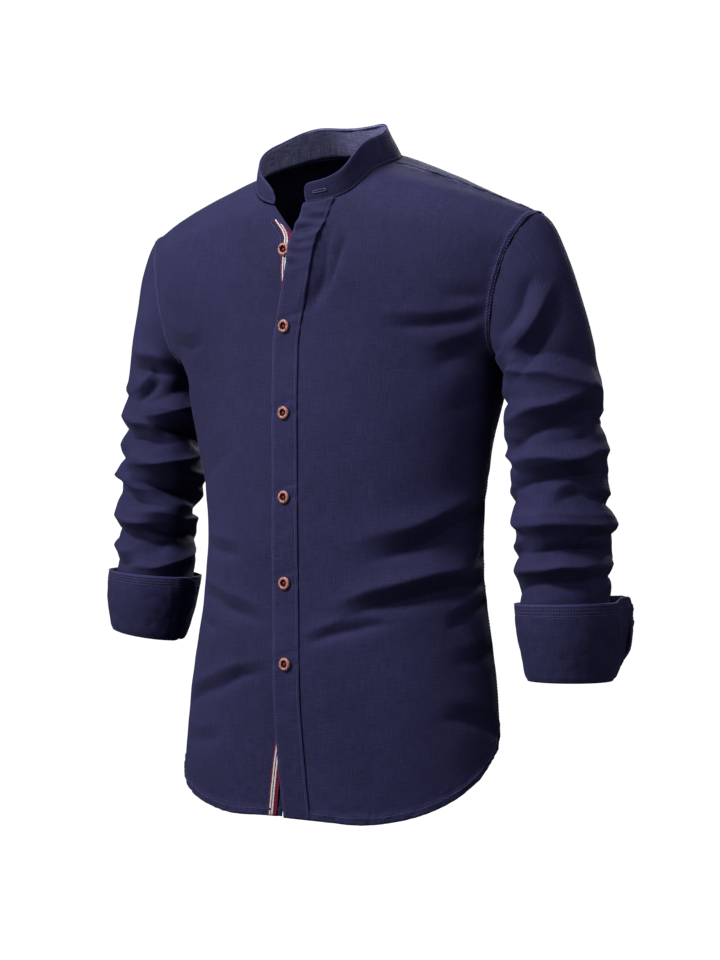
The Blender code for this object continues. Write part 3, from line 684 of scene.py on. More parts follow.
def strip_lift(across_m, bare):
    """The strip's own bumps: full between its rows of stitches, drawn in at each button, and bunched
    below the open neck."""
    inset = STRIP_WIDTH / 2 - np.abs(across_m)
    lift = STRIP_WALL + OVER_CLOTH - 0.0005 * bell(inset - STRIP_ROW_INSET, 0.0011)
    lift += 0.0004 * ripple(bare, 0.011, 51.0) * ease(inset, 0, 0.004)
    for button_height in BUTTON_HEIGHTS[1:]:
        up = bare[:, 2] - button_height
        lift -= 0.0009 * bell(up, 0.0035) * (1 - 0.6 * bell(across_m, 0.006))
        lift -= 0.0006 * bell(up - 0.010 - 0.3 * across_m, 0.0025)
    bunched = ease(bare[:, 2], -0.13, -0.075)
    lift += bunched * 0.0040 * ripple(bare * np.array([0.35, 0.35, 1.0]), 0.0075, 57.0)
    return lift


front_strip = cloth(
    "front_strip_cloth", 18, 300, strip(STRIP_WIDTH / 2, 1, strip_lift, RIDGE), STRIP_WALL
)
dress(front_strip, "front_strip", shirting)

# ======================================================================= the yoke and the back
# The yoke goes over the shoulders from the front seams to the shoulder blades. The back hangs
# from it down to a curved hem. Both are the same slub cotton.
BACK_SEAM_MID = 0.868
BACK_SEAM_SIDE = 0.828
ARMPIT_HEIGHT = -0.212
HEM_BACK_LOW = -0.672
BACK_HEM_CURVE = 1.65
BACK_HEM_SEED = 23.0


def back_seam(share):
    return BACK_SEAM_MID + (BACK_SEAM_SIDE - BACK_SEAM_MID) * share**2


def back_hem_level(share):
    hem = HEM_BACK_LOW + (HEM_SIDE - HEM_BACK_LOW) * share**BACK_HEM_CURVE
    return BACK_ARMPIT + ARMPIT_HEIGHT - hem


def wide_columns(u):
    """The columns of a panel that spans the body, from the wearer's left to the right."""
    k = (0.5 - u) * 2
    share = column_share(np.abs(k), 0.0, k)
    return k, share, np.copysign(share, k)


def yoke(u, v):
    k, share, across = wide_columns(u)
    low = back_seam(share)
    high = np.where(share < neck_side(k), neck_level(across, True), FRONT_SEAM)
    level = low + (high - low) * v
    bare = bare_point(across, level)
    to_side = (1 - share) * girth(level)
    out = seam_pucker(bare, to_side, ARMHOLE_FOLD, ARMHOLE_SEED)
    out += seam_pucker(bare, (low - level), 0.006, 43.0)
    out += seam_pucker(bare, np.where(share > 0.3, level - FRONT_SEAM, 1.0), 0.005, 44.0)
    return body_point(across, level, out), weave_uv(share, level, np.sign(k)), hole_worn(to_side)


def back(u, v):
    k, share, across = wide_columns(u)
    low = back_hem_level(share)
    level = row_level(v, low, BACK_ARMPIT, back_seam(share))
    bare = bare_point(across, level)
    to_side = (1 - share) * girth(level)
    to_hem = (low - level) * 0.95
    to_hole = np.where(level < BACK_ARMPIT + 0.004, to_side, 1.0)
    out = seam_pucker(bare, to_hem, HEM_FOLD, BACK_HEM_SEED)
    out += seam_pucker(bare, to_hole, ARMHOLE_FOLD, ARMHOLE_SEED)
    worn = bell(to_hem, 0.0015) + hole_worn(to_hole)
    return body_point(across, level, out), weave_uv(share, level, np.sign(k)), worn


yoke_cloth = cloth("yoke_cloth", 156, 56, yoke)
dress(yoke_cloth, "yoke", shirting)
back_cloth = cloth("back_cloth", 150, 200, back)
dress(back_cloth, "back", shirting)

# ======================================================================= the stitches
# Every seam is topstitched with matching thread. Each stitch is a short low bead of thread that
# lies along its seam.
STITCH_PITCH = 0.0029
STITCH_LENGTH = 0.0022
STITCH_WIDTH = 0.0005
THREAD_LIFT = 0.0002
HEM_ROW = 0.0072
FELLED_ROWS = (0.0014, 0.0062)
YOKE_ROWS = (0.0014, 0.0060)


def between(values, gone, stop):
    """The point or the direction at stop metres along a row."""
    return Vector([np.interp(stop, gone, column) for column in values.T])


def sew(rows, pitch=STITCH_PITCH, length=STITCH_LENGTH, width=STITCH_WIDTH):
    """One form of stitches along rows of points, each with the normals of the cloth there."""
    total = bmesh.new()
    for points, normals in rows:
        gone = np.concatenate([[0], np.cumsum(np.linalg.norm(np.diff(points, axis=0), axis=1))])
        row = bmesh.new()
        for stop in np.arange(pitch / 2, gone[-1], pitch):
            here = between(points, gone, stop)
            ahead = between(points, gone, stop + 0.0005)
            behind = between(points, gone, stop - 0.0005)
            up = between(normals, gone, stop).normalized()
            forwards = (ahead - behind).normalized()
            beside = up.cross(forwards).normalized()
            turn = Matrix((forwards * length / 2, beside * width / 2, up * width / 2)).transposed()
            bmesh.ops.create_icosphere(
                row, subdivisions=1, radius=1, matrix=Matrix.Translation(here) @ turn.to_4x4()
            )
        part = bpy.data.meshes.new("row")
        row.to_mesh(part)
        row.free()
        total.from_mesh(part)
        bpy.data.meshes.remove(part)
    return total


thread = material("navy_thread", {"Base Color": (0.055, 0.053, 0.125, 1), "Roughness": 0.55})


def stitched(name, rows, slot_name="shirting", **sizes):
    made = finished(sew(rows, **sizes), name, thread)
    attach(made, "root")


def body_row(across, level, out):
    return body_point(across, level, out), bare_normal(across, level)


def seam_row(across, level, inset, width, seed, out=0.0):
    """A row on a puckered seam allowance, inset metres in from its edge."""
    pucker = seam_pucker(bare_point(across, level), np.full(len(level), inset), width, seed)
    return body_row(across, level, out + pucker + THREAD_LIFT)


def strip_rows(reach, side, out, top):
    """Both rows that run up a strip, reach metres to each side of its middle."""
    place = strip(reach, side, out, top)
    v = np.linspace(0.004, 0.997, 420)
    normals = np.repeat([[0.0, -1.0, 0.0]], 420, axis=0)
    return [(place(np.full(420, end), v)[0], normals) for end in (0.0, 1.0)]


on_strip = STRIP_WALL + OVER_CLOTH - 0.0003
strip_reach = STRIP_WIDTH / 2 - STRIP_ROW_INSET
stitched("front_strip_stitches", strip_rows(strip_reach, 1, on_strip, RIDGE))
tape_reach = TAPE_WIDTH / 2 - 0.0009
stitched("stand_tape_stitches", strip_rows(tape_reach, -1, TAPE_WALL + 0.0009, TAPE_TOP))

rows = []
for side in (1, -1):
    share = np.linspace(0.07 if side > 0 else 0.06, 0.995, 200)
    level = hem_level(share) + HEM_ROW
    laid = stack(share, side)
    rows.append(seam_row(side * share, level, 0.0065, HEM_FOLD, FRONT_HEM_SEED, laid))
    share = np.linspace(0.005, 0.995, 200)
    level = back_hem_level(share) - HEM_ROW
    rows.append(seam_row(side * share, level, 0.0068, HEM_FOLD, BACK_HEM_SEED))
stitched("hem_stitches", rows)

rows = []
for side in (1, -1):
    level = np.linspace(FRONT_ARMPIT + 0.002, BACK_ARMPIT - 0.002, 420)
    for inset in FELLED_ROWS:
        share = 1 - inset / girth(level)
        rows.append(seam_row(side * share, level, inset, ARMHOLE_FOLD, ARMHOLE_SEED))
    share = np.linspace(0.31, 0.985, 120)
    rows.append(body_row(side * share, np.full(120, FRONT_SEAM + 0.0035), 0.0008))
    share = np.linspace(0.002, 0.985, 200)
    for inset in YOKE_ROWS:
        rows.append(body_row(side * share, back_seam(share) - inset, 0.0008))
    level = np.linspace(HEM_SIDE - MIDDLE[0].height + 0.006, FRONT_ARMPIT - 0.004, 260)
    for inset in FELLED_ROWS:
        rows.append(body_row(side * (1 - inset / girth(level)), level, 0.0004))
stitched("body_seam_stitches", rows, pitch=0.0033, length=0.0020, width=0.0008)

# ======================================================================= the collar band
# Two layers of cotton with a stiff layer between stand up round the neck. Both ends are rounded,
# and the left end carries a buttonhole. It is edge-stitched all round.
COLLAR_HEIGHT = 0.036
COLLAR_END_HEIGHT = 0.020
COLLAR_LENGTH = 0.43
COLLAR_CORNERS = (0.009, 0.026)
COLLAR_LEANS = (0.05, 0.35)
COLLAR_BACK_LEAN = 0.30
COLLAR_RISE = np.array([0, -0.35, 0.94])
NECK_MIDDLE = -0.015
BAND_WALL = 0.0019


def to_middle(points):
    """Level directions from the points to the middle of the neck."""
    return unit(np.stack([-points[:, 0], NECK_MIDDLE - points[:, 1], np.zeros(len(points))], 1))


def collar(u, v):
    """The band, u from its left end round the back of the neck to the right end, v up."""
    ends = {}
    for side in (1, -1):
        start = front_edge(neck_level(np.array([0.08 * side])), side)
        ends[side] = float(np.arcsin(start / neck_side(start))[0])
    turn = ends[1] + (2 * math.pi + ends[-1] - ends[1]) * u
    across = neck_side(np.sin(turn)) * np.sin(turn)
    level = np.where(np.cos(turn) < 0, neck_level(across, True), neck_level(across))
    foot = body_point(across, level, -0.0002)
    from_end = np.minimum(u, 1 - u) * COLLAR_LENGTH
    corner = np.where(u < 0.5, *COLLAR_CORNERS)
    rounded = 1 - np.sqrt(np.maximum(1 - np.maximum(1 - from_end / corner, 0) ** 2, 0))
    round_back = ease(from_end, 0, 0.16)
    tall = COLLAR_END_HEIGHT + (COLLAR_HEIGHT - COLLAR_END_HEIGHT) * round_back
    tall = tall * (1 - rounded * np.minimum(corner / tall, 0.8))
    inwards = to_middle(foot)
    lean = np.where(u < 0.5, *COLLAR_LEANS)
    lean = lean + (COLLAR_BACK_LEAN - lean) * round_back
    up = unit(COLLAR_RISE + inwards * lean[:, None])
    rise = tall * v
    points = foot + up * (0.0010 + rise)[:, None]
    edge_gap = np.minimum(np.minimum(rise, tall - rise), from_end)
    dent = 0.0004 * bell(edge_gap - 0.0025, 0.0011)
    dent -= 0.0005 * ripple(points, 0.018, 61.0) * ease(edge_gap, 0, 0.004)
    dent -= 0.0010 * ripple(points, 0.045, 63.0) * v
    threads = np.stack([u * COLLAR_LENGTH, rise], 1)
    return points + inwards * dent[:, None], threads, bell(edge_gap, 0.0010)


band = cloth("collar_band_cloth", 220, 16, collar, BAND_WALL)
dress(band, "collar_band", shirting)


def inner_layer(u, v):
    """The band's inner layer, a little smaller all round. Its cotton is paler, partly from its own paler
    colour and partly from painted light that stands in for the lamps' light it misses inside the band.
    """
    points, threads, _ = collar(0.015 + 0.97 * u, 0.03 + 0.93 * v)
    return points + to_middle(points) * (BAND_WALL + 0.0003), threads, np.zeros(len(u))


# The inner band's paler cotton is partly a paler weave and partly painted light: it is brighter than the
# cloth would be, to make up for the shade inside the band.
pale_and_painted_lit_slub = cotton("pale_cotton_with_painted_light", (0.012, 0.0125, 0.034), (0.27, 0.27, 0.50), 0.9)
inner_band = cloth("inner_band_cloth", 200, 12, inner_layer, 0.0002)
inner_band.data.materials.append(pale_and_painted_lit_slub)
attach(inner_band, "root")


def collar_row(height, inside):
    """A row along the band, height metres from its seam, or from its rim where below 0."""
    u = np.linspace(0.012, 0.988, 500)
    base = collar(u, np.zeros(500))[0]
    tall = np.linalg.norm(collar(u, np.ones(500))[0] - base, axis=1)
    v = height / tall if height > 0 else 1 + height / tall
    points = collar(u, v)[0]
    inwards = to_middle(points)
    if inside:
        return points + inwards * (BAND_WALL + THREAD_LIFT), inwards
    return points - inwards * THREAD_LIFT, -inwards


rows = [collar_row(height, False) for height in (0.0022, -0.0022)]
rows += [collar_row(height, True) for height in (0.0016, 0.0046, -0.0022)]
stitched("collar_stitches", rows)

# ======================================================================= the sleeves
# Long sleeves, pushed up a little above the cuffs, so the cloth bunches into uneven folds. Angles
# run round a sleeve from outwards, 0, through forwards, 90 degrees.
CAP_END = -0.250
SLEEVE_TILT = math.radians(-54)
Arm = namedtuple("Arm", "height out depth wide narrow")
ARM = [Arm(*row) for row in (
    (-0.53, 0.2765, 0.0055, 0.035, 0.035),
    (-0.45, 0.268, 0.0115, 0.0455, 0.0432),
    (-0.4, 0.2665, 0.0125, 0.0485, 0.044),
    (-0.35, 0.263, 0.0132, 0.0495, 0.0445),
    (-0.3, 0.2587, 0.0132, 0.0505, 0.045),
    (-0.25, 0.2525, 0.0137, 0.051, 0.0455),
)]
SLEEVE_END = {1: -0.496, -1: -0.474}
# The shares of an armhole's round that lie on the front and on the yoke.
ROUND_FRONT, ROUND_YOKE = 9 / 24, 6 / 24
CAP_SHARE = 0.33
SLEEVE_LENGTH = 0.46
ARM_RADIUS = 0.047
CREASE_DEPTH, CREASE_CREST, CREASE_SHARP = 1.15, 1.25, 1.05

Crease = namedtuple("Crease", "angle_a height_a angle_b height_b bow width depth crest")
LEFT_CREASES = [Crease(*row) for row in (
    (38, -0.126, 106, -0.196, 0.006, 0.0063, -0.0065, 0.7),
    (30, -0.138, 92, -0.204, 0.008, 0.0086, 0.0065, 0.4),
    (60, -0.16, 104, -0.232, 0.004, 0.0069, 0.0039, 0.6),
    (96, -0.207, 208, -0.227, 0.004, 0.0075, 0.0078, 0.6),
    (152, -0.214, -44, -0.242, 0.006, 0.0092, -0.0065, 0.5),
    (112, -0.242, 223, -0.254, 0.003, 0.0069, 0.0065, 0.6),
    (40, -0.262, -58, -0.279, 0.005, 0.008, 0.0039, 0.5),
    (150, -0.308, -50, -0.249, 0.008, 0.0103, 0.0109, 0.6),
    (156, -0.281, 213, -0.288, 0.003, 0.0069, 0.0059, 0.6),
    (75, -0.311, 0, -0.302, 0.004, 0.008, -0.0052, 0.6),
    (152, -0.34, -56, -0.319, 0.006, 0.0098, 0.0111, 0.6),
    (70, -0.352, 20, -0.338, 0.003, 0.0057, 0.0039, 0.6),
    (148, -0.362, -66, -0.367, 0.005, 0.008, -0.003, 0.6),
    (148, -0.399, -56, -0.403, 0.006, 0.0109, 0.0115, 0.7),
    (98, -0.419, 5, -0.411, 0.003, 0.0063, -0.0046, 0.6),
    (170, -0.438, -5, -0.43, 0.004, 0.008, 0.0091, 0.6),
    (200, -0.276, 325, -0.262, 0.006, 0.0098, 0.0111, 0.6),
    (150, -0.32, 252, -0.304, 0.006, 0.0092, 0.0091, 0.6),
    (190, -0.354, 330, -0.342, 0.006, 0.0098, 0.0111, 0.6),
    (150, -0.392, 262, -0.384, 0.005, 0.0092, 0.0097, 0.6),
    (196, -0.427, 335, -0.418, 0.005, 0.0086, 0.0091, 0.6),
    (228, -0.15, 302, -0.218, 0.01, 0.0126, 0.0065, 0.5),
    (245, -0.2, 320, -0.246, 0.008, 0.0103, 0.0059, 0.5),
    (166, -0.206, 118, -0.196, 0.002, 0.0042, 0.0046, 0.6),
    (164, -0.24, 122, -0.226, 0.002, 0.0045, 0.005, 0.6),
    (160, -0.306, 116, -0.318, 0.002, 0.0045, 0.0052, 0.6),
    (162, -0.352, 120, -0.34, 0.002, 0.0042, 0.0046, 0.6),
    (160, -0.372, 114, -0.384, 0.002, 0.0045, 0.005, 0.6),
    (162, -0.41, 112, -0.398, 0.003, 0.0045, 0.005, 0.6),
    (32, -0.286, -52, -0.262, 0.003, 0.005, 0.0048, 0.6),
    (22, -0.344, -56, -0.356, 0.003, 0.0048, 0.0046, 0.6),
    (40, -0.386, -50, -0.38, 0.003, 0.0048, 0.0048, 0.6),
    (36, -0.428, -58, -0.42, 0.003, 0.0045, 0.0046, 0.6),
)]
RIGHT_CREASES = [Crease(*row) for row in (
    (54, -0.193, 148, -0.208, 0.005, 0.0075, 0.0084, 0.6),
    (86, -0.236, 124, -0.216, 0.003, 0.0069, 0.0065, 0.6),
    (104, -0.256, 178, -0.236, 0.004, 0.0069, -0.0059, 0.6),
    (102, -0.26, 226, -0.277, 0.005, 0.0086, 0.0111, 0.7),
    (2, -0.259, 146, -0.285, 0.006, 0.0075, 0.0091, 0.6),
    (76, -0.308, 234, -0.284, 0.006, 0.0086, -0.0078, 0.5),
    (76, -0.315, 244, -0.351, 0.009, 0.0103, 0.0115, 0.7),
    (12, -0.322, 144, -0.356, 0.006, 0.0075, 0.0091, 0.6),
    (96, -0.374, 234, -0.389, 0.005, 0.0086, 0.0111, 0.6),
    (-6, -0.368, 168, -0.398, 0.007, 0.0086, 0.0111, 0.6),
    (92, -0.424, 231, -0.394, 0.005, 0.008, -0.0065, 0.6),
    (14, -0.411, 100, -0.418, 0.003, 0.0069, 0.0059, 0.6),
    (4, -0.294, 80, -0.3, 0.003, 0.0069, 0.0052, 0.6),
    (-88, -0.269, 6, -0.262, 0.005, 0.0086, 0.0078, 0.6),
    (-138, -0.312, -14, -0.321, 0.006, 0.0098, 0.0111, 0.6),
    (-168, -0.355, -44, -0.366, 0.006, 0.0098, 0.0111, 0.6),
    (-148, -0.399, -4, -0.404, 0.006, 0.0092, 0.0097, 0.6),
    (-186, -0.286, -116, -0.281, 0.005, 0.0092, 0.0078, 0.6),
    (-96, -0.171, -158, -0.235, 0.01, 0.0126, 0.0065, 0.5),
    (24, -0.226, 74, -0.236, 0.002, 0.0045, 0.0032, 0.6),
    (20, -0.334, 78, -0.322, 0.002, 0.0045, 0.0032, 0.6),
    (22, -0.384, 80, -0.394, 0.002, 0.0045, 0.0032, 0.6),
    (152, -0.262, 236, -0.25, 0.003, 0.005, 0.005, 0.6),
    (150, -0.322, 232, -0.332, 0.003, 0.0048, 0.005, 0.6),
    (148, -0.366, 236, -0.358, 0.003, 0.0048, 0.005, 0.6),
)]


def armhole_level(u):
    """The levels of the points round an armhole, from the armpit up the front and down the back."""
    front_part = FRONT_ARMPIT + (FRONT_SEAM - FRONT_ARMPIT) * u / ROUND_FRONT
    yoke_part = FRONT_SEAM + (BACK_SEAM_SIDE - FRONT_SEAM) * (u - ROUND_FRONT) / ROUND_YOKE
    rest = u - ROUND_FRONT - ROUND_YOKE
    back_part = BACK_SEAM_SIDE + (BACK_ARMPIT - BACK_SEAM_SIDE) * rest / ROUND_FRONT
    return np.where(u <= ROUND_FRONT, front_part, np.where(rest <= 0, yoke_part, back_part))


def arm_ring(angle, height, side):
    out, depth, wide, narrow = smooth(ARM, height).T
    a = angle - SLEEVE_TILT
    radius = wide * narrow / np.hypot(narrow * np.cos(a), wide * np.sin(a))
    return np.stack([side * (out + radius * np.cos(angle)), depth - radius * np.sin(angle), height], 1)


def creased(points, angle, side, room):
    """The sleeve drawn in towards its axis by its folds."""
    wide, narrow = smooth(ARM, points[:, 2])[:, 2:].T
    round_it = (wide + narrow) / 2
    degrees = np.degrees(angle)
    drift = 0.0045 * np.stack([ripple(points, 0.030, 71.0 + side), ripple(points, 0.030, 77.0 + side)], 1)
    sink = np.zeros(len(points))
    for crease in LEFT_CREASES if side > 0 else RIGHT_CREASES:
        half = (crease.angle_a + crease.angle_b) / 2
        near = half + (degrees - half + 180) % 360 - 180
        sink += sunk(
            np.radians(near) * ARM_RADIUS + drift[:, 0], points[:, 2] + drift[:, 1],
            math.radians(crease.angle_a) * ARM_RADIUS, crease.height_a,
            math.radians(crease.angle_b) * ARM_RADIUS, crease.height_b, crease.bow, crease.width,
            CREASE_DEPTH * crease.depth, CREASE_CREST * crease.crest, CREASE_SHARP,
        )
    sink += 0.0012 * ripple(points, 0.040, 81.0)
    small = 0.0022 * ripple(points * np.array([0.30, 0.30, 1.0]), 0.013, 83.0 + side)
    sink += small * ease(-points[:, 2], 0.19, 0.27)
    inwards = np.stack([-side * np.cos(angle), np.sin(angle), np.zeros(len(points))], 1)
    return points + inwards * (sink * room)[:, None], round_it


def sleeve(side):
    """A sleeve, u round it from the armpit up the front, v from the armhole down: first the cap, which
    leaves the armhole's seam in a curve, then the arm."""
    end = SLEEVE_END[side]

    def place(u, v):
        level = armhole_level(u)
        angle = np.where(
            level <= RIDGE,
            math.pi * (1 - (level - FRONT_ARMPIT) / (RIDGE - FRONT_ARMPIT)),
            -math.pi * (level - RIDGE) / (BACK_ARMPIT - RIDGE),
        )
        s = np.minimum(v / CAP_SHARE, 1)
        edge_at = np.full(len(u), float(side))
        seam = body_point(edge_at, level)
        normal = bare_normal(edge_at, level)
        normal[:, 0] = side * np.abs(normal[:, 0])
        beyond = unit(seam - body_point(edge_at * 0.985, level))
        ring = arm_ring(angle, np.full(len(u), CAP_END), side)
        start = seam + (beyond + normal) * 0.0003
        reach = np.linalg.norm(ring - start, axis=1)[:, None]
        top = (np.maximum(np.cos(angle), 0) ** 2)[:, None]
        away = np.array([side * 0.66, 0, -0.75]) * (1 - top)
        leave = unit(beyond * top + away) * reach * (1 - 0.6 * top)
        arrive = np.array([side * 0.13, 0, -1.0]) * reach
        t = s[:, None]
        cap = start * (2 * t**3 - 3 * t**2 + 1) + leave * (t**3 - 2 * t**2 + t)
        cap += ring * (3 * t**2 - 2 * t**3) + arrive * (t**3 - t**2)
        height = CAP_END + (end - CAP_END) * (v - CAP_SHARE) / (1 - CAP_SHARE)
        points = np.where((v > CAP_SHARE)[:, None], arm_ring(angle, height, side), cap)
        folded, round_it = creased(points, angle, side, ease(s, 0, 0.35))
        return folded, np.stack([angle * round_it, v * SLEEVE_LENGTH], 1), np.zeros(len(u))

    return place


for side, word in ((1, "left"), (-1, "right")):
    sleeve_cloth = cloth(f"sleeve_{word}_cloth", 132, 230, sleeve(side), turned=side > 0, tube=True)
    dress(sleeve_cloth, f"sleeve_{word}", shirting)

# ======================================================================= the cuffs
# Barrel cuffs turned back on themselves and left unfastened. The left one's end stands away
# behind the wrist. Four rows of stitches run round the turned edge.
Cuff = namedtuple("Cuff", "top_out top_in low_out low_in start leave first free low_corner")
CUFFS = {
    1: Cuff(-0.447, -0.449, -0.525, -0.525, -8, 262, 0.050, 0.052, 0.046),
    -1: Cuff(-0.424, -0.433, -0.489, -0.503, 176, 530, 0.0, 0.012, 0.012),
}
CUFF_TOP_RADIUS = 0.0520
CUFF_LOW_RADIUS = 0.0420
CUFF_TOP_CORNER = 0.012
CUFF_WALL = 0.0022
CUFF_SPREAD = 0.004
CUFF_HEIGHT = 0.0765
CUFF_ROWS = (0.0016, 0.0047, 0.0078, 0.0109)
ROWS_APART = 0.0031


def cuff_form(side):
    cuff = CUFFS[side]
    ends = np.array([cuff.low_in, cuff.top_in])
    (out_low, depth_low), (out_top, depth_top) = smooth(ARM, ends)[:, :2]

    def place(u, v):
        radius = CUFF_LOW_RADIUS + (CUFF_TOP_RADIUS - CUFF_LOW_RADIUS) * np.sin(v * math.pi / 2)
        round_length = math.radians(cuff.leave - cuff.start) * radius
        length = cuff.first + round_length + cuff.free
        gone = u * length
        before = np.maximum(cuff.first - gone, 0)
        angle = math.radians(cuff.start) + np.clip(gone - cuff.first, 0, round_length) / radius
        spread = CUFF_SPREAD * ease(gone / length, 0.75, 1) * (side < 0) + radius
        x = spread * np.cos(angle)
        y = spread * np.sin(angle)
        after = np.maximum(gone - cuff.first - round_length, 0)
        straight = before + after
        x = x + (before - after) * np.sin(angle)
        y = y + (after - before) * np.cos(angle)
        from_end = np.minimum(gone, length - gone)
        trims = [
            corner - np.sqrt(np.maximum(corner**2 - np.maximum(corner - from_end, 0) ** 2, 0))
            for corner in (CUFF_TOP_CORNER, cuff.low_corner)
        ]
        share = (1 - x / radius) / 2
        flare = 0.005 * ease(straight, 0.006, 0.03)
        top = cuff.top_out + (cuff.top_in - cuff.top_out) * share - trims[0] + flare
        low = cuff.low_out + (cuff.low_in - cuff.low_out) * share + trims[1]
        out = out_low + (out_top - out_low) * v
        depth = depth_low + (depth_top - depth_low) * v
        points = np.stack([side * (out + x), depth - y, low + (top - low) * v], 1)
        outwards = unit(np.stack([side * x, -y, np.zeros(len(u))], 1))
        rise = (top - low) * v
        to_top = (top - low) - rise
        lift = 0.0010 * ripple(points, 0.030, 91.0) + 0.0005 * ripple(points, 0.010, 93.0)
        lift -= 0.0005 * bell((to_top % ROWS_APART) - 0.0015, 0.0008) * (to_top < 0.0125)
        crinkled = ease(straight, 0.0, 0.015) + (0.5 * ease(from_end, 0.06, 0.0) if side < 0 else 0)
        crinkle = ripple(points * np.array([1, 1, 0.18]), 0.0055, 95.0) * crinkled
        lift += 0.0015 * crinkle
        lift -= 0.0012 * bell(rise, 0.003)
        to_edge = np.minimum(np.minimum(rise, to_top), from_end)
        worn = bell(to_edge, 0.0012) + 1.3 * np.maximum(crinkle, 0)
        return points + outwards * lift[:, None], np.stack([gone, rise], 1), worn

    return place


for side, word in ((1, "left"), (-1, "right")):
    cuff_cloth = cloth(f"cuff_{word}_cloth", 200, 42, cuff_form(side), CUFF_WALL, turned=side > 0)
    dress(cuff_cloth, f"cuff_{word}", shirting)
    rows = []
    for down in CUFF_ROWS:
        u = np.linspace(0.02, 0.98, 420)
        points = cuff_form(side)(u, np.full(420, 1 - down / CUFF_HEIGHT))[0]
        middle_out = smooth(ARM, np.full(420, CUFFS[side].top_in))[:, :2]
        outwards = unit(np.stack([
            points[:, 0] - side * middle_out[:, 0], points[:, 1] - middle_out[:, 1], np.zeros(420)
        ], 1))
        rows.append((points + outwards * THREAD_LIFT, outwards))
    stitched(f"cuff_{word}_stitches", rows)

# ======================================================================= the buttonholes
# Each is a slit with close stitches all round. One is at the left end of the band, and one in the
# free end of each cuff. Those on the strip lie hidden under the buttons and are left out.
HOLE_LENGTH = 0.0155
HOLE_WIDTH = 0.0022


def hole_row(centre, along, normal):
    """A narrow closed loop of points round a slit."""
    turn = np.linspace(0, math.tau, 90)
    along = np.array(Vector(along).normalized())
    normal = np.array(Vector(normal).normalized())
    beside = np.cross(normal, along)
    reach = np.sign(np.cos(turn)) * np.abs(np.cos(turn)) ** 0.5 * HOLE_LENGTH / 2
    width = np.sin(turn) * HOLE_WIDTH / 2
    points = centre + reach[:, None] * along + width[:, None] * beside + normal * 0.0001
    return points, np.repeat([normal], 90, axis=0)


rows = []
corners = collar(np.array([0.028, 0.066, 0.047, 0.047]), np.array([0.5, 0.5, 0.3, 0.7]))[0]
first, last, below, above = corners
outwards = unit(np.cross(last - first, above - below)[None])[0]
rows.append(hole_row((below + above) / 2 + 0.0004 * outwards, last - first, outwards))
for side, at in ((1, 0.80), (-1, 0.965)):
    low, high = cuff_form(side)(np.array([at - 0.02, at + 0.02]), np.array([0.55, 0.55]))[0]
    outwards = np.cross(high - low, (0, 0, side))
    centre = (low + high) / 2 + 0.0010 * outwards / np.linalg.norm(outwards)
    rows.append(hole_row(centre, high - low, outwards))
stitched("buttonhole_stitches", rows, pitch=0.0006, length=0.0008, width=0.0011)

# ======================================================================= the buttons
# Turned buttons of two-toned resin: a pale rosy rim round a dished maroon middle, sewn on through
# four holes. The top one is unfastened and lies on the tape.
BUTTON_RADIUS = 0.0135 / 2
BUTTON_DEPTH = 0.0030
BUTTON_SIDES = 48
BUTTON_GAP = 0.0009
# Distances from the axis, in radii, and heights, in depths.
BUTTON_PROFILE = (
    (0.0, 0.0), (0.80, 0.0), (0.95, 0.22), (1.0, 0.52), (0.97, 0.80), (0.86, 0.98), (0.68, 0.98),
    (0.56, 0.84), (0.49, 0.56), (0.42, 0.40), (0.20, 0.36), (0.0, 0.38),
)
DISH_RADIUS = BUTTON_RADIUS * 0.56
NOTCHES = 16
NOTCH_DEPTH = 0.00045
CROSS_STITCH = Matrix.Diagonal((0.0017, 0.00038, 0.00038, 1))


def resin(name, colour, rough, shine):
    """Resin speckled with darker and paler spots of its own colour."""
    made = material(name, {"Roughness": rough, "Specular IOR Level": shine})
    tree = made.node_tree
    place = add(tree, "TexCoord", "Object")
    swirl = add(tree, "TexNoise", "Fac", {"Vector": place, "Scale": 900.0, "Detail": 5.0})
    speckle = add(tree, "MapRange", "Result", {"Value": swirl, "From Min": 0.40, "From Max": 0.60})
    dark = (*[0.10 * part for part in colour], 1)
    light = (*[min(1.8 * part, 1) for part in colour], 1)
    shade(made, {"Base Color": add(tree, "Mix", 2, {0: speckle, 6: dark, 7: light}, data_type="RGBA")})
    return made


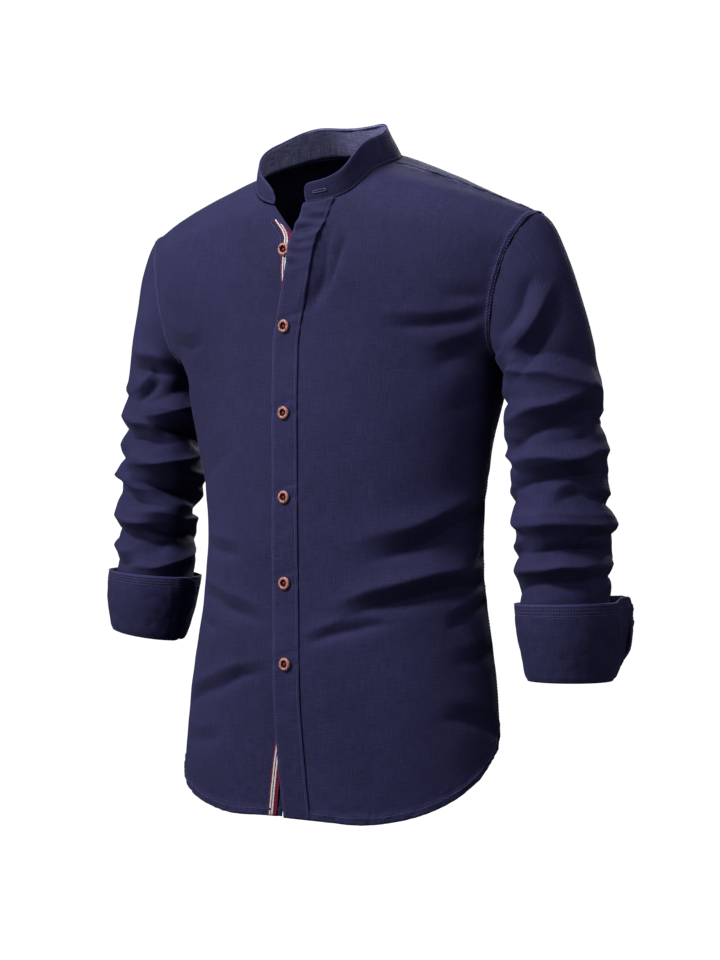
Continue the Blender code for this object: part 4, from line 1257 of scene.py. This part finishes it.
rim_resin = resin("rosy_resin", (0.27, 0.105, 0.090), 0.45, 0.35)
dish_resin = resin("maroon_resin", (0.026, 0.0030, 0.0034), 0.6, 0.04)
button_thread = material("button_thread", {"Base Color": (0.10, 0.055, 0.055, 1), "Roughness": 0.7})

profile = [(across * BUTTON_RADIUS, up * BUTTON_DEPTH) for across, up in BUTTON_PROFILE]
front_rows = MIDDLE[:9]
for number, height in enumerate(BUTTON_HEIGHTS, 1):
    on_tape = number == 1
    near = np.interp(height, [row.height for row in front_rows], [row.level for row in front_rows])
    level = near + np.linspace(-0.01, 0.01, 81)
    level = level[np.argmin(np.abs(smooth(MIDDLE, level)[:, 0] - height))][None]
    zero = np.zeros(1)
    out = (TAPE_WALL if on_tape else STRIP_WALL) + BUTTON_GAP
    point = body_point(zero, level, stack(zero, -1 if on_tape else 1) + out)[0]
    if on_tape:
        point[0] += float(parting(level, -1)[0])
    normal = Vector(bare_normal(zero, level)[0])
    turned = turned_round(profile, BUTTON_SIDES)
    for face in turned.faces:
        middle_of = face.calc_center_median()
        if middle_of.z > BUTTON_DEPTH * 0.3 and middle_of.xy.length < DISH_RADIUS:
            face.material_index = 1
    for vert in turned.verts:
        if vert.co.z > BUTTON_DEPTH * 0.7 and vert.co.xy.length > BUTTON_RADIUS * 0.7:
            beads = math.cos(NOTCHES * math.atan2(vert.co.y, vert.co.x))
            vert.co.z -= NOTCH_DEPTH * max(-beads, 0)
    for turn in (45, 135):
        stitch = Matrix.Translation((0, 0, BUTTON_DEPTH * 0.44))
        stitch = stitch @ Matrix.Rotation(math.radians(turn), 4, "Z")
        made = bmesh.ops.create_icosphere(
            turned, subdivisions=2, radius=1, matrix=stitch @ CROSS_STITCH
        )
        for vert in made["verts"]:
            for face in vert.link_faces:
                face.material_index = 2
    place = Matrix.Translation(point) @ normal.to_track_quat("Z", "Y").to_matrix().to_4x4()
    bmesh.ops.transform(turned, matrix=place, verts=turned.verts)
    button = finished(turned, f"button_{number}_turned", rim_resin, dish_resin, button_thread)
    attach(button, "root")
    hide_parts(f"button_{number}")
